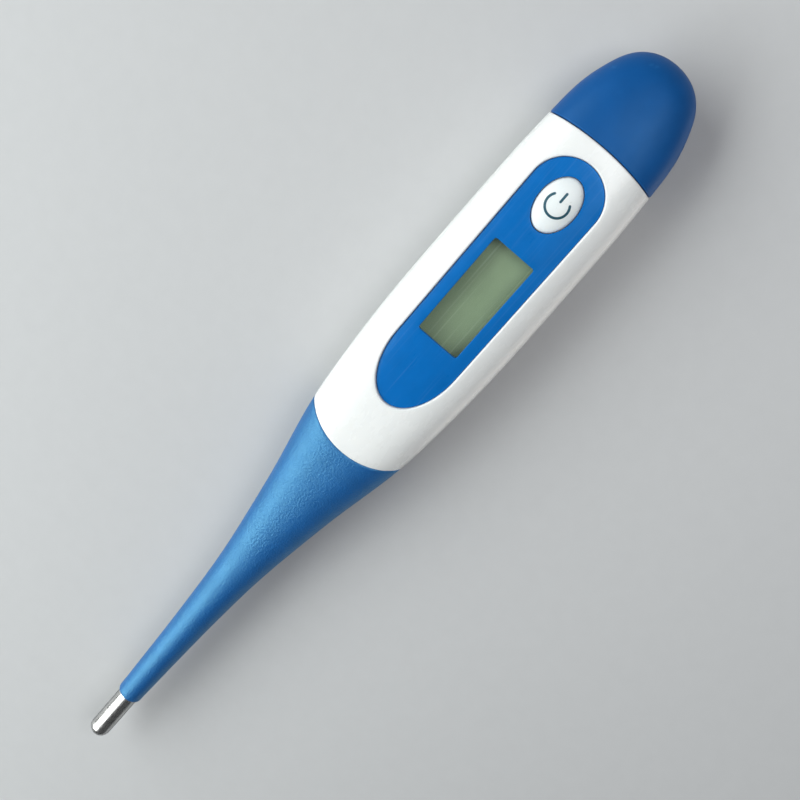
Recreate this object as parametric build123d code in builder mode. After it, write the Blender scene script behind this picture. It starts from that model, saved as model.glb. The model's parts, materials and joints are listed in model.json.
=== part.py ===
from build123d import *
from math import copysign, cos, pi, radians, sin
import os

# Clinical digital thermometer with a flexible tip, in millimetres.
# +X runs from the probe tip to the battery cap and +Z out of the display face.
# It lies on its back: Z = 0 is the flat underside and X = 0 the middle of its length.

os.makedirs("parts", exist_ok=True)

# ---- overall size and outer form ----
LENGTH = 136.4
TIP_X = -LENGTH / 2
END_X = LENGTH / 2
AXIS_Z = 5.7                     # height of the long axis above the flat underside

# Cross-sections of the outer form: X, half width, half height, and the exponent of the
# superellipse, where 2 is a true oval and a larger value has flatter sides.
SECTIONS = (
    (-58.0, 2.07, 2.07, 2.0),
    (-46.0, 2.50, 2.45, 2.0),
    (-34.0, 3.10, 2.90, 2.0),
    (-26.0, 3.75, 3.30, 2.1),
    (-18.0, 4.80, 3.85, 2.2),
    (-9.0, 6.20, 4.60, 2.3),
    (2.0, 8.20, 5.35, 2.5),
    (11.0, 9.00, 5.75, 2.6),
    (20.0, 9.38, 5.95, 2.7),
    (30.0, 9.38, 5.95, 2.7),
    (41.0, 9.20, 5.90, 2.7),
    (49.0, 8.98, 5.75, 2.7),
    (54.5, 8.64, 5.50, 2.6),
    (59.5, 8.08, 5.05, 2.4),
    (63.0, 6.98, 4.35, 2.3),
    (65.5, 5.70, 3.50, 2.1),
    (67.2, 3.85, 2.25, 2.0),
)
OVAL_POINTS = 20                 # points around each cross-section
BLOCK = 30.0                     # half size of the blocks that trim the outer form

# ---- parting lines, where the three shells meet ----
SLEEVE_EDGE_X = 3.0              # at the sides of the body
SLEEVE_CROWN_X = 0.4             # on the centre line
CAP_EDGE_X = 53.9
CAP_CROWN_X = 54.7
PARTING_GAP = 0.08
PARTING_HALF_WIDTH = 8.5

# ---- white body ----
SLEEVE_WALL = 1.5                # rubber over the body's nose
NOSE_WALL = 1.1
NOSE_FRONT_X = -12.0
CHANNEL_FRONT_X = 6.0            # inner channel that the tray slides in
CHANNEL_HALF_WIDTH = 7.1
CHANNEL_FLOOR_Z = 1.3
CHANNEL_CEILING_Z = 9.2
CHANNEL_TOP_RADIUS = 1.6
CHANNEL_BOTTOM_RADIUS = 3.0

# ---- face panel and its recess ----
PANEL_FRONT_X = 10.4
PANEL_BACK_X = 52.0
PANEL_HALF_WIDTH = 5.2
PANEL_FRONT_ROUND = 8.6          # length of the panel's tapered end towards the probe
PANEL_BACK_ROUND = 5.1
PANEL_CLEARANCE = 0.06
RECESS_LIP = 0.40                # how far the panel lies below the body's surface
PANEL_THICKNESS = 0.60
ADHESIVE_THICKNESS = 0.08

# ---- display window ----
WINDOW_CENTRE_X = 29.5
WINDOW_LENGTH = 15.9
WINDOW_WIDTH = 6.7
WINDOW_CORNER = 0.25
LENS_MARGIN = 0.7                # the lens and its opening are larger than the panel's window
LENS_BOTTOM_Z = 9.35

# ---- power button ----
BUTTON_X = 45.6
BUTTON_LENGTH = 8.0
BUTTON_WIDTH = 5.5
BUTTON_CLEARANCE = 0.10
BUTTON_TOP_Z = 11.85
DOME_SEMI_AXES = (6.05, 4.16, 3.0)   # of the ellipsoid that crowns the button
BUTTON_BOTTOM_Z = 9.38
FLANGE_MARGIN = 0.55
FLANGE_TOP_Z = 10.25
FLANGE_THICKNESS = 0.30
SEAL_SEAT_Z = 9.45               # floor of the counterbore that holds flange and seal
SYMBOL_RADIUS = 1.6
SYMBOL_LINE = 0.34
SYMBOL_GAP_DEGREES = 47.0        # half angle of the gap in the symbol's ring
SYMBOL_DEPTH = 0.15
SYMBOL_BAR_START = 0.45
SYMBOL_BAR_END = 2.05

# ---- flexible sleeve ----
HINGES_X = (-20.0, -33.0, -46.0)
HINGE_GAP = 0.12
BORE_RADIUS = 1.05               # passage for the sensor leads

# ---- metal tip and sensor ----
PROBE_RADIUS = 1.72
PROBE_WALL = 0.22
PROBE_BACK_X = -55.4             # hidden end, inside the sleeve
POTTING_BACK_X = -61.5
BEAD_RADIUS = 0.65
BEAD_X = TIP_X + 2.2
LEAD_RADIUS = 0.16
LEAD_SPREAD = 0.36               # half distance between the two leads

# ---- tray and battery ----
SLIDE_CLEARANCE = 0.12
TRAY_FRONT_X = 7.6
TRAY_STEP_X = 49.2               # where the tray narrows to pass through the cap's plug
TRAY_BACK_X = 58.6
TRAY_WALL = 0.9
TRAY_WALL_TOP_Z = 4.7
BULKHEAD_THICKNESS = 0.8
TAIL_HALF_WIDTH = 5.3
TAIL_BOTTOM_Z = 2.3
TAIL_TOP_Z = 5.6
TAIL_CORNER = 2.0
POCKET_CLEARANCE = 0.1
CELL_X = 53.7
CELL_RADIUS = 3.95
CELL_HEIGHT = 3.6
CELL_BOTTOM_Z = 3.35

# ---- circuit board and what it carries ----
BOARD_FRONT_X = 9.0
BOARD_BACK_X = 48.3
BOARD_HALF_WIDTH = 5.9
BOARD_BOTTOM_Z = 4.8
BOARD_THICKNESS = 0.8
BOARD_TOP_Z = BOARD_BOTTOM_Z + BOARD_THICKNESS
SCREW_XS = (12.5, 41.75)
SCREW_BOTTOM_Z = 2.9
SCREW_RADIUS = 0.6
SCREW_HEAD_RADIUS = 1.15
SCREW_HEAD_HEIGHT = 0.5
BOSS_RADIUS = 1.5

LCD_LENGTH = 20.0
LCD_WIDTH = 10.2
LCD_LEDGE = 1.7                  # the front glass overhangs the rear glass by this much
LCD_TOP_Z = 8.55
POLARIZER_THICKNESS = 0.12
GLASS_THICKNESS = 0.5
REFLECTOR_THICKNESS = 0.15
FRAME_WALL = 0.8
FRAME_SLOT = 0.08                # clearance between the glass and its frame

# ---- switch ----
SWITCH_LENGTH = 4.4
SWITCH_WIDTH = 3.4
SWITCH_TOP_Z = 7.8
PLUNGER_RADIUS = 0.95
PLUNGER_TOP_Z = CHANNEL_CEILING_Z - 0.05
PLUNGER_BOTTOM_Z = 6.9
SWITCH_WELL_Z = 6.3

# ---- buzzer ----
BUZZER_X = 24.0
BUZZER_RADIUS = 4.0
CERAMIC_RADIUS = 3.0
FOIL_THICKNESS = 0.2
CONTACT_THICKNESS = 0.2

# ---- battery cap ----
CAP_WALL = 1.2
PLUG_FRONT_X = 50.4
PLUG_CLEARANCE = 0.06
PLUG_WALL = 0.8
CAP_CAVITY_BACK_X = 63.5
SEAL_X = 52.4
SEAL_WIDTH = 0.9
SEAL_DEPTH = 0.45
SEAL_CLEARANCE = 0.03
PLUG_BACK_X = 57.0               # where the plug ends inside the cap

# ---- small parts ----
LEAD_END_X = 10.8                # solder point of the sensor leads on the board
SCREW_SLOT = 0.35
BLOB_RADIUS = 3.0
BLOB_HEIGHT = 1.2
BLOB_ROUND = 1.0
CHIPS_X = 15.9
CHIP_LENGTH = 1.6
CHIP_WIDTH = 0.8
CHIP_HEIGHT = 0.55
ZEBRA_END_GAP = 1.0
ZEBRA_SIDE_GAP = 0.2
PLUNGER_CLEARANCE = 0.06
PLUNGER_CHAMFER = 0.15
CONTACT_WIDTH = 1.0
CONTACT_SIDE_Y = 2.2             # near edge of the positive contact, beside the switch
CONTACT_FRONT_X = 46.5
CONTACT_DIMPLE = 0.1
CONTACT_SLOT = 3.4               # half width of the notch that lets the contacts reach the cell
CONTACT_SLOT_Z = 4.75
CELL_CAN_WALL = 0.25
CELL_GASKET_WALL = 0.35
CELL_LID_RISE = 0.25


def save(part, name):
    """Labels a finished piece and writes its STEP file."""
    part.label = name
    export_step(part, f"parts/{name}.step")


def oval_points(half_width, half_height, exponent):
    """Points around one superellipse cross-section, with Y across and Z up."""
    points = []
    for step in range(OVAL_POINTS):
        angle = 2 * pi * step / OVAL_POINTS - pi / 2
        across = copysign(abs(cos(angle)) ** (2 / exponent), cos(angle)) * half_width
        up = copysign(abs(sin(angle)) ** (2 / exponent), sin(angle)) * half_height
        points.append((across, AXIS_Z + up))
    return points


def outer_form(inset=0.0, x_low=TIP_X, x_high=END_X):
    """The smooth outer form between two places on the long axis, shrunk by inset."""
    with BuildPart() as form:
        for x, half_width, half_height, exponent in SECTIONS:
            if x_low <= x <= x_high:
                with BuildSketch(Plane.YZ.offset(x)):
                    with BuildLine():
                        ring = oval_points(half_width - inset, half_height - inset, exponent)
                        Spline(*ring, periodic=True)
                    make_face()
        closing = [Vertex(END_X, 0, AXIS_Z)] if x_high == END_X else []
        loft(sections=[*form.pending_faces, *closing])
        split(bisect_by=Plane.XY.offset(inset), keep=Keep.TOP)
    return form.part


def ahead_of(edge_x, crown_x):
    """A block that holds everything on the probe side of a curved parting line."""
    with BuildPart() as solid:
        with BuildSketch(Plane.XY.offset(-BLOCK)):
            with BuildLine():
                ThreePointArc(
                    (edge_x, -PARTING_HALF_WIDTH), (crown_x, 0), (edge_x, PARTING_HALF_WIDTH)
                )
                Polyline(
                    (edge_x, PARTING_HALF_WIDTH),
                    (edge_x, BLOCK),
                    (-LENGTH, BLOCK),
                    (-LENGTH, -BLOCK),
                    (edge_x, -BLOCK),
                    (edge_x, -PARTING_HALF_WIDTH),
                )
            make_face()
        extrude(amount=2 * BLOCK)
    return solid.part


def slab(x_low, x_high):
    """A block that holds everything between two planes across the long axis."""
    with BuildPart() as solid:
        with BuildSketch(Plane.YZ.offset(x_low)):
            Rectangle(2 * BLOCK, 2 * BLOCK)
        extrude(amount=x_high - x_low)
    return solid.part


def panel_outline(margin):
    """The panel's elongated oval: straight sides, a long elliptical front, a blunter back."""
    half_width = PANEL_HALF_WIDTH + margin
    front_centre = PANEL_FRONT_X + PANEL_FRONT_ROUND
    back_centre = PANEL_BACK_X - PANEL_BACK_ROUND
    with BuildSketch() as outline:
        with Locations((front_centre, 0)):
            Ellipse(PANEL_FRONT_ROUND + margin, half_width)
        with Locations((back_centre, 0)):
            Ellipse(half_width, PANEL_BACK_ROUND + margin, rotation=90)
        with Locations(((front_centre + back_centre) / 2, 0)):
            Rectangle(back_centre - front_centre, 2 * half_width)
    return outline.sketch


def window_outline(margin):
    """The rectangular display window, grown by margin."""
    with BuildSketch() as outline:
        with Locations((WINDOW_CENTRE_X, 0)):
            RectangleRounded(
                WINDOW_LENGTH + 2 * margin, WINDOW_WIDTH + 2 * margin, WINDOW_CORNER
            )
    return outline.sketch


def button_outline(margin):
    """The button's oval, grown by margin."""
    with BuildSketch() as outline:
        with Locations((BUTTON_X, 0)):
            Ellipse(BUTTON_LENGTH / 2 + margin, BUTTON_WIDTH / 2 + margin)
    return outline.sketch


def channel_outline(inset):
    """Section of the body's inner channel, rounder at the bottom, shrunk by inset."""
    half_width = CHANNEL_HALF_WIDTH - inset
    height = CHANNEL_CEILING_Z - CHANNEL_FLOOR_Z - 2 * inset
    middle_z = (CHANNEL_CEILING_Z + CHANNEL_FLOOR_Z) / 2
    with BuildSketch() as outline:
        with Locations((0, middle_z)):
            Rectangle(2 * half_width, height)
        fillet(outline.vertices().group_by(Axis.Y)[0], CHANNEL_BOTTOM_RADIUS - inset)
        fillet(outline.vertices().group_by(Axis.Y)[-1], CHANNEL_TOP_RADIUS - inset)
    return outline.sketch


def upright(outline, bottom, top):
    """A block over a flat outline, between two heights."""
    with BuildPart() as solid:
        with BuildSketch(Plane.XY.offset(bottom)):
            add(outline)
        extrude(amount=top - bottom)
    return solid.part


def channel_block(inset, x_low, x_high):
    """The channel's section carried along X between two places."""
    with BuildPart() as solid:
        with BuildSketch(Plane.YZ.offset(x_low)):
            add(channel_outline(inset))
        extrude(amount=x_high - x_low)
    return solid.part


def rod(radius, x_low, x_high, y=0.0, z=AXIS_Z):
    """A round rod parallel to the long axis."""
    with BuildPart() as bar:
        with BuildSketch(Plane.YZ.offset(x_low)):
            with Locations((y, z)):
                Circle(radius)
        extrude(amount=x_high - x_low)
    return bar.part


def disc(x, y, radius, bottom, top):
    """An upright round disc or post."""
    with BuildPart() as post:
        with BuildSketch(Plane.XY.offset(bottom)):
            with Locations((x, y)):
                Circle(radius)
        extrude(amount=top - bottom)
    return post.part


def block(x_range, y_range, z_range):
    """A rectangular block between three pairs of limits."""
    with BuildPart() as brick:
        with BuildSketch(Plane.XY.offset(z_range[0])):
            with Locations((sum(x_range) / 2, sum(y_range) / 2)):
                Rectangle(x_range[1] - x_range[0], y_range[1] - y_range[0])
        extrude(amount=z_range[1] - z_range[0])
    return brick.part


def half_height_at(x):
    """Half height of the outer form at X, straight between its cross-sections."""
    for front, back in zip(SECTIONS, SECTIONS[1:]):
        if front[0] <= x <= back[0]:
            share = (x - front[0]) / (back[0] - front[0])
            return front[2] + share * (back[2] - front[2])
    raise ValueError("no cross-section there")


def hinge_barrel(x, gap):
    """A cylinder across the sleeve at a bending place, about as high as the sleeve is there."""
    with BuildPart() as barrel:
        with BuildSketch(Plane.XZ.offset(-BLOCK)):
            with Locations((x, AXIS_Z)):
                Circle(half_height_at(x) + gap)
        extrude(amount=2 * BLOCK)
    return barrel.part


def dome(shrink):
    """The ellipsoid that crowns the button, with its top at the button's height."""
    with BuildPart() as ball:
        Sphere(1)
        scale(by=tuple(semi_axis - shrink for semi_axis in DOME_SEMI_AXES))
    return Pos(BUTTON_X, 0, BUTTON_TOP_Z - DOME_SEMI_AXES[2]) * ball.part


def bullet(radius, front_x, back_x):
    """A round-nosed rod on the long axis."""
    with BuildPart() as shape:
        with BuildSketch(Plane.XZ):
            with BuildLine():
                Line((front_x, AXIS_Z), (back_x, AXIS_Z))
                Line((back_x, AXIS_Z), (back_x, AXIS_Z + radius))
                Line((back_x, AXIS_Z + radius), (front_x + radius, AXIS_Z + radius))
                RadiusArc(
                    (front_x + radius, AXIS_Z + radius), (front_x, AXIS_Z), -radius
                )
            make_face()
        revolve(axis=Axis((0, 0, AXIS_Z), (1, 0, 0)))
    return shape.part


def display_area(x_margin, y_margin):
    """The display glass's outline, grown by a margin each way, as two ranges."""
    half_length = LCD_LENGTH / 2 + x_margin
    half_width = LCD_WIDTH / 2 + y_margin
    return (
        (WINDOW_CENTRE_X - half_length, WINDOW_CENTRE_X + half_length),
        (-half_width, half_width),
    )


# ---- forms that several pieces share ----
TALL = END_X
skin = outer_form()
recess_form = outer_form(RECESS_LIP + PANEL_THICKNESS + ADHESIVE_THICKNESS, 2, 59.5)
panel_top_form = outer_form(RECESS_LIP, 2, 59.5)
panel_under_form = outer_form(RECESS_LIP + PANEL_THICKNESS, 2, 59.5)
nose_form = outer_form(SLEEVE_WALL, -18, 11)
nose_bore_form = outer_form(SLEEVE_WALL + NOSE_WALL, -18, 11)
cap_inner_form = outer_form(CAP_WALL, 49, 65.5)

window_hole = upright(window_outline(0), AXIS_Z, TALL)
lens_hole = upright(window_outline(LENS_MARGIN), AXIS_Z, TALL)
button_hole = upright(button_outline(BUTTON_CLEARANCE), AXIS_Z, TALL)
flange_hole = upright(button_outline(FLANGE_MARGIN + BUTTON_CLEARANCE), SEAL_SEAT_Z, TALL)

# ---- white body ----
with BuildPart() as nose:
    add(nose_form)
    add(slab(NOSE_FRONT_X, SLEEVE_EDGE_X + 1), mode=Mode.INTERSECT)

with BuildPart() as recess:
    add(upright(panel_outline(PANEL_CLEARANCE), AXIS_Z, TALL))
    add(recess_form, mode=Mode.SUBTRACT)

with BuildPart() as nose_bore:
    add(nose_bore_form)
    add(slab(NOSE_FRONT_X - 1, CHANNEL_FRONT_X + 1), mode=Mode.INTERSECT)

with BuildPart() as main_housing:
    add(skin)
    add(ahead_of(CAP_EDGE_X - PARTING_GAP, CAP_CROWN_X - PARTING_GAP), mode=Mode.INTERSECT)
    add(ahead_of(SLEEVE_EDGE_X, SLEEVE_CROWN_X), mode=Mode.SUBTRACT)
    add(nose.part)
    add(nose_bore.part, mode=Mode.SUBTRACT)
    add(channel_block(0, CHANNEL_FRONT_X, END_X), mode=Mode.SUBTRACT)
    add(recess.part, mode=Mode.SUBTRACT)
    add(lens_hole, mode=Mode.SUBTRACT)
    add(button_hole, mode=Mode.SUBTRACT)
    add(flange_hole, mode=Mode.SUBTRACT)
save(main_housing.part, "main_housing")

# ---- face panel, its adhesive and the clear window under it ----
with BuildPart() as face_panel:
    add(upright(panel_outline(0), AXIS_Z, TALL))
    add(panel_top_form, mode=Mode.INTERSECT)
    add(panel_under_form, mode=Mode.SUBTRACT)
    add(window_hole, mode=Mode.SUBTRACT)
    add(button_hole, mode=Mode.SUBTRACT)
save(face_panel.part, "face_panel")

with BuildPart() as panel_adhesive:
    add(upright(panel_outline(0), AXIS_Z, TALL))
    add(panel_under_form, mode=Mode.INTERSECT)
    add(recess_form, mode=Mode.SUBTRACT)
    add(lens_hole, mode=Mode.SUBTRACT)
    add(flange_hole, mode=Mode.SUBTRACT)
save(panel_adhesive.part, "panel_adhesive")

with BuildPart() as window_lens:
    add(upright(window_outline(LENS_MARGIN - PANEL_CLEARANCE), LENS_BOTTOM_Z, TALL))
    add(panel_under_form, mode=Mode.INTERSECT)
save(window_lens.part, "window_lens")

# ---- power button, its printed symbol and its seal ----
with BuildPart() as power_symbol:
    with BuildSketch(Plane.XY.offset(FLANGE_TOP_Z)):
        with Locations((BUTTON_X, 0)):
            Circle(SYMBOL_RADIUS + SYMBOL_LINE / 2)
            Circle(SYMBOL_RADIUS - SYMBOL_LINE / 2, mode=Mode.SUBTRACT)
            with BuildLine():
                reach = 2 * SYMBOL_RADIUS
                edge = (
                    reach * cos(radians(SYMBOL_GAP_DEGREES)),
                    reach * sin(radians(SYMBOL_GAP_DEGREES)),
                )
                Polyline((0, 0), edge, (edge[0], -edge[1]), close=True)
            make_face(mode=Mode.SUBTRACT)
        with Locations((BUTTON_X + (SYMBOL_BAR_START + SYMBOL_BAR_END) / 2, 0)):
            SlotOverall(SYMBOL_BAR_END - SYMBOL_BAR_START, SYMBOL_LINE)
    extrude(amount=TALL)
    add(dome(0), mode=Mode.INTERSECT)
    add(dome(SYMBOL_DEPTH), mode=Mode.SUBTRACT)
save(power_symbol.part, "power_symbol")

with BuildPart() as power_button:
    add(upright(button_outline(0), BUTTON_BOTTOM_Z, BUTTON_TOP_Z))
    add(dome(0), mode=Mode.INTERSECT)
    add(upright(button_outline(FLANGE_MARGIN), FLANGE_TOP_Z - FLANGE_THICKNESS, FLANGE_TOP_Z))
    add(power_symbol.part, mode=Mode.SUBTRACT)
save(power_button.part, "power_button")

with BuildPart() as button_seal:
    add(upright(button_outline(FLANGE_MARGIN), SEAL_SEAT_Z, FLANGE_TOP_Z - FLANGE_THICKNESS))
    add(button_hole, mode=Mode.SUBTRACT)
save(button_seal.part, "button_seal")

# ---- flexible sleeve, in a fixed root and three bending segments ----
with BuildPart() as sleeve:
    add(skin)
    edge_x = SLEEVE_EDGE_X - PARTING_GAP
    add(ahead_of(edge_x, SLEEVE_CROWN_X - PARTING_GAP), mode=Mode.INTERSECT)
    add(nose.part, mode=Mode.SUBTRACT)
    add(rod(BORE_RADIUS, TIP_X, NOSE_FRONT_X), mode=Mode.SUBTRACT)
    add(nose_bore.part, mode=Mode.SUBTRACT)
    add(rod(PROBE_RADIUS, TIP_X, PROBE_BACK_X), mode=Mode.SUBTRACT)

with BuildPart() as sleeve_root:
    add(sleeve.part)
    add(slab(HINGES_X[0], SLEEVE_EDGE_X + 1), mode=Mode.INTERSECT)
    add(hinge_barrel(HINGES_X[0], HINGE_GAP), mode=Mode.SUBTRACT)
save(sleeve_root.part, "sleeve_root")

segment_names = ("sleeve_rear_segment", "sleeve_middle_segment", "sleeve_tip_segment")
for name, back_x, front_x in zip(segment_names, HINGES_X, (*HINGES_X[1:], TIP_X)):
    with BuildPart() as rounded_end:
        add(hinge_barrel(back_x, 0))
        add(slab(back_x, back_x + BLOCK), mode=Mode.INTERSECT)
    with BuildPart() as segment:
        add(slab(front_x, back_x))
        add(rounded_end.part)
        add(sleeve.part, mode=Mode.INTERSECT)
        if front_x != TIP_X:
            add(hinge_barrel(front_x, HINGE_GAP), mode=Mode.SUBTRACT)
    save(segment.part, name)

# ---- metal tip with its sensor ----
with BuildPart() as probe_cap:
    add(bullet(PROBE_RADIUS, TIP_X, PROBE_BACK_X))
    add(bullet(PROBE_RADIUS - PROBE_WALL, TIP_X + PROBE_WALL, PROBE_BACK_X + 1),
        mode=Mode.SUBTRACT)
save(probe_cap.part, "probe_cap")

with BuildPart() as thermistor_bead:
    with Locations((BEAD_X, 0, AXIS_Z)):
        Sphere(BEAD_RADIUS)
save(thermistor_bead.part, "thermistor_bead")

lead_z = BOARD_TOP_Z + LEAD_RADIUS
with BuildPart() as sensor_leads:
    for y in (-LEAD_SPREAD, LEAD_SPREAD):
        with BuildLine(Plane.XZ.offset(-y)) as lead_path:
            FilletPolyline(
                (BEAD_X, lead_z),
                (-9, lead_z),
                (-5, lead_z - 1.2),
                (0, lead_z + 1.2),
                (5, lead_z),
                (LEAD_END_X, lead_z),
                radius=3.0,
            )
        with BuildSketch(lead_path.line ^ 0):
            Circle(LEAD_RADIUS)
        sweep(path=lead_path.line)
    add(thermistor_bead.part, mode=Mode.SUBTRACT)
save(sensor_leads.part, "sensor_leads")

with BuildPart() as thermal_potting:
    add(bullet(PROBE_RADIUS - PROBE_WALL, TIP_X + PROBE_WALL, POTTING_BACK_X))
    add(thermistor_bead.part, mode=Mode.SUBTRACT)
    add(sensor_leads.part, mode=Mode.SUBTRACT)
save(thermal_potting.part, "thermal_potting")

# ---- carrier tray ----
with BuildPart() as tray_trough:
    add(channel_block(SLIDE_CLEARANCE, TRAY_FRONT_X, TRAY_STEP_X))
    add(channel_block(SLIDE_CLEARANCE + TRAY_WALL, TRAY_FRONT_X - 1,
                      TRAY_STEP_X - BULKHEAD_THICKNESS), mode=Mode.SUBTRACT)
    split(bisect_by=Plane.XY.offset(TRAY_WALL_TOP_Z), keep=Keep.BOTTOM)

with BuildPart() as carrier_tray:
    add(tray_trough.part)
    for screw_x in SCREW_XS:
        add(disc(screw_x, 0, BOSS_RADIUS, TAIL_BOTTOM_Z, BOARD_BOTTOM_Z))
        add(disc(screw_x, 0, SCREW_RADIUS, SCREW_BOTTOM_Z, BOARD_TOP_Z), mode=Mode.SUBTRACT)
    with BuildSketch(Plane.YZ.offset(TRAY_STEP_X - BULKHEAD_THICKNESS)) as tail_sketch:
        with Locations((0, (TAIL_BOTTOM_Z + TAIL_TOP_Z) / 2)):
            Rectangle(2 * TAIL_HALF_WIDTH, TAIL_TOP_Z - TAIL_BOTTOM_Z)
        fillet(tail_sketch.vertices().group_by(Axis.Y)[0], TAIL_CORNER)
    extrude(amount=TRAY_BACK_X - TRAY_STEP_X + BULKHEAD_THICKNESS)
    add(disc(CELL_X, 0, CELL_RADIUS + POCKET_CLEARANCE, CELL_BOTTOM_Z, TALL), mode=Mode.SUBTRACT)
    add(block((TRAY_STEP_X - BULKHEAD_THICKNESS, CELL_X), (-CONTACT_SLOT, CONTACT_SLOT),
              (CONTACT_SLOT_Z, TALL)), mode=Mode.SUBTRACT)
save(carrier_tray.part, "carrier_tray")

# ---- circuit board and the parts soldered to it ----
with BuildPart() as circuit_board:
    add(block((BOARD_FRONT_X, BOARD_BACK_X), (-BOARD_HALF_WIDTH, BOARD_HALF_WIDTH),
              (BOARD_BOTTOM_Z, BOARD_TOP_Z)))
    for screw_x in SCREW_XS:
        add(disc(screw_x, 0, SCREW_RADIUS, BOARD_BOTTOM_Z, BOARD_TOP_Z), mode=Mode.SUBTRACT)
save(circuit_board.part, "circuit_board")

with BuildPart() as board_screws:
    for screw_x in SCREW_XS:
        add(disc(screw_x, 0, SCREW_RADIUS, SCREW_BOTTOM_Z, BOARD_TOP_Z))
        add(disc(screw_x, 0, SCREW_HEAD_RADIUS, BOARD_TOP_Z, BOARD_TOP_Z + SCREW_HEAD_HEIGHT))
        slot = (-SCREW_HEAD_RADIUS, SCREW_HEAD_RADIUS)
        width = (screw_x - SCREW_SLOT / 2, screw_x + SCREW_SLOT / 2)
        height = (BOARD_TOP_Z + SCREW_HEAD_HEIGHT / 2, BOARD_TOP_Z + SCREW_HEAD_HEIGHT)
        add(block(width, slot, height), mode=Mode.SUBTRACT)
save(board_screws.part, "board_screws")

with BuildPart() as controller_blob:
    add(disc(WINDOW_CENTRE_X, 0, BLOB_RADIUS, BOARD_TOP_Z, BOARD_TOP_Z + BLOB_HEIGHT))
    fillet(controller_blob.faces().sort_by(Axis.Z)[-1].edges(), BLOB_ROUND)
save(controller_blob.part, "controller_blob")

with BuildPart() as chip_components:
    with BuildSketch(Plane.XY.offset(BOARD_TOP_Z)):
        with Locations((CHIPS_X, 0)):
            with GridLocations(2.2, 3.4, 2, 3):
                Rectangle(CHIP_LENGTH, CHIP_WIDTH)
    extrude(amount=CHIP_HEIGHT)
save(chip_components.part, "chip_components")

# ---- display stack ----
glass_x, glass_y = display_area(0, 0)
rear_y = (glass_y[0] + LCD_LEDGE, glass_y[1])
front_glass_top = LCD_TOP_Z - POLARIZER_THICKNESS
front_glass_bottom = front_glass_top - GLASS_THICKNESS
rear_glass_bottom = front_glass_bottom - GLASS_THICKNESS
reflector_bottom = rear_glass_bottom - REFLECTOR_THICKNESS
display_layers = (
    ("lcd_front_polarizer", glass_y, (front_glass_top, LCD_TOP_Z)),
    ("lcd_front_glass", glass_y, (front_glass_bottom, front_glass_top)),
    ("lcd_rear_glass", rear_y, (rear_glass_bottom, front_glass_bottom)),
    ("lcd_reflector", rear_y, (reflector_bottom, rear_glass_bottom)),
)
for name, y_range, z_range in display_layers:
    with BuildPart() as layer:
        add(block(glass_x, y_range, z_range))
    save(layer.part, name)

with BuildPart() as zebra_connector:
    add(block((glass_x[0] + ZEBRA_END_GAP, glass_x[1] - ZEBRA_END_GAP),
              (glass_y[0] + ZEBRA_SIDE_GAP, glass_y[0] + LCD_LEDGE - ZEBRA_SIDE_GAP),
              (BOARD_TOP_Z, front_glass_bottom)))
save(zebra_connector.part, "zebra_connector")

with BuildPart() as lcd_frame:
    frame_margin = FRAME_SLOT + FRAME_WALL
    add(block(*display_area(frame_margin, frame_margin), (BOARD_TOP_Z, LCD_TOP_Z + FRAME_SLOT)))
    add(block(*display_area(FRAME_SLOT, FRAME_SLOT), (reflector_bottom, TALL)),
        mode=Mode.SUBTRACT)
    add(block(*display_area(-FRAME_WALL, FRAME_SLOT), (0, TALL)), mode=Mode.SUBTRACT)
save(lcd_frame.part, "lcd_frame")

# ---- switch under the button ----
with BuildPart() as switch_base:
    add(block((BUTTON_X - SWITCH_LENGTH / 2, BUTTON_X + SWITCH_LENGTH / 2),
              (-SWITCH_WIDTH / 2, SWITCH_WIDTH / 2), (BOARD_TOP_Z, SWITCH_TOP_Z)))
    well_radius = PLUNGER_RADIUS + PLUNGER_CLEARANCE
    add(disc(BUTTON_X, 0, well_radius, SWITCH_WELL_Z, SWITCH_TOP_Z), mode=Mode.SUBTRACT)
save(switch_base.part, "switch_base")

with BuildPart() as switch_plunger:
    add(disc(BUTTON_X, 0, PLUNGER_RADIUS, PLUNGER_BOTTOM_Z, PLUNGER_TOP_Z))
    chamfer(switch_plunger.edges().sort_by(Axis.Z)[-1], PLUNGER_CHAMFER)
save(switch_plunger.part, "switch_plunger")

# ---- buzzer on the tray's floor ----
buzzer_floor_z = CHANNEL_FLOOR_Z + SLIDE_CLEARANCE + TRAY_WALL
disc_top_z = buzzer_floor_z + FOIL_THICKNESS
ceramic_top_z = disc_top_z + FOIL_THICKNESS
with BuildPart() as buzzer_disc:
    add(disc(BUZZER_X, 0, BUZZER_RADIUS, buzzer_floor_z, disc_top_z))
save(buzzer_disc.part, "buzzer_disc")

with BuildPart() as buzzer_ceramic:
    add(disc(BUZZER_X, 0, CERAMIC_RADIUS, disc_top_z, ceramic_top_z))
save(buzzer_ceramic.part, "buzzer_ceramic")

with BuildPart() as buzzer_contacts:
    rim_x = BUZZER_X + (BUZZER_RADIUS + CERAMIC_RADIUS) / 2
    for foot_x, foot_z in ((BUZZER_X, ceramic_top_z), (rim_x, disc_top_z)):
        leaf_y = (-CONTACT_WIDTH / 2, CONTACT_WIDTH / 2)
        foot = (foot_x - CONTACT_THICKNESS, foot_x + CONTACT_THICKNESS)
        add(block(foot, leaf_y, (foot_z, foot_z + CONTACT_THICKNESS)))
        leaf = (foot_x, foot_x + CONTACT_THICKNESS)
        add(block(leaf, leaf_y, (foot_z, BOARD_BOTTOM_Z)))
save(buzzer_contacts.part, "buzzer_contacts")

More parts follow.
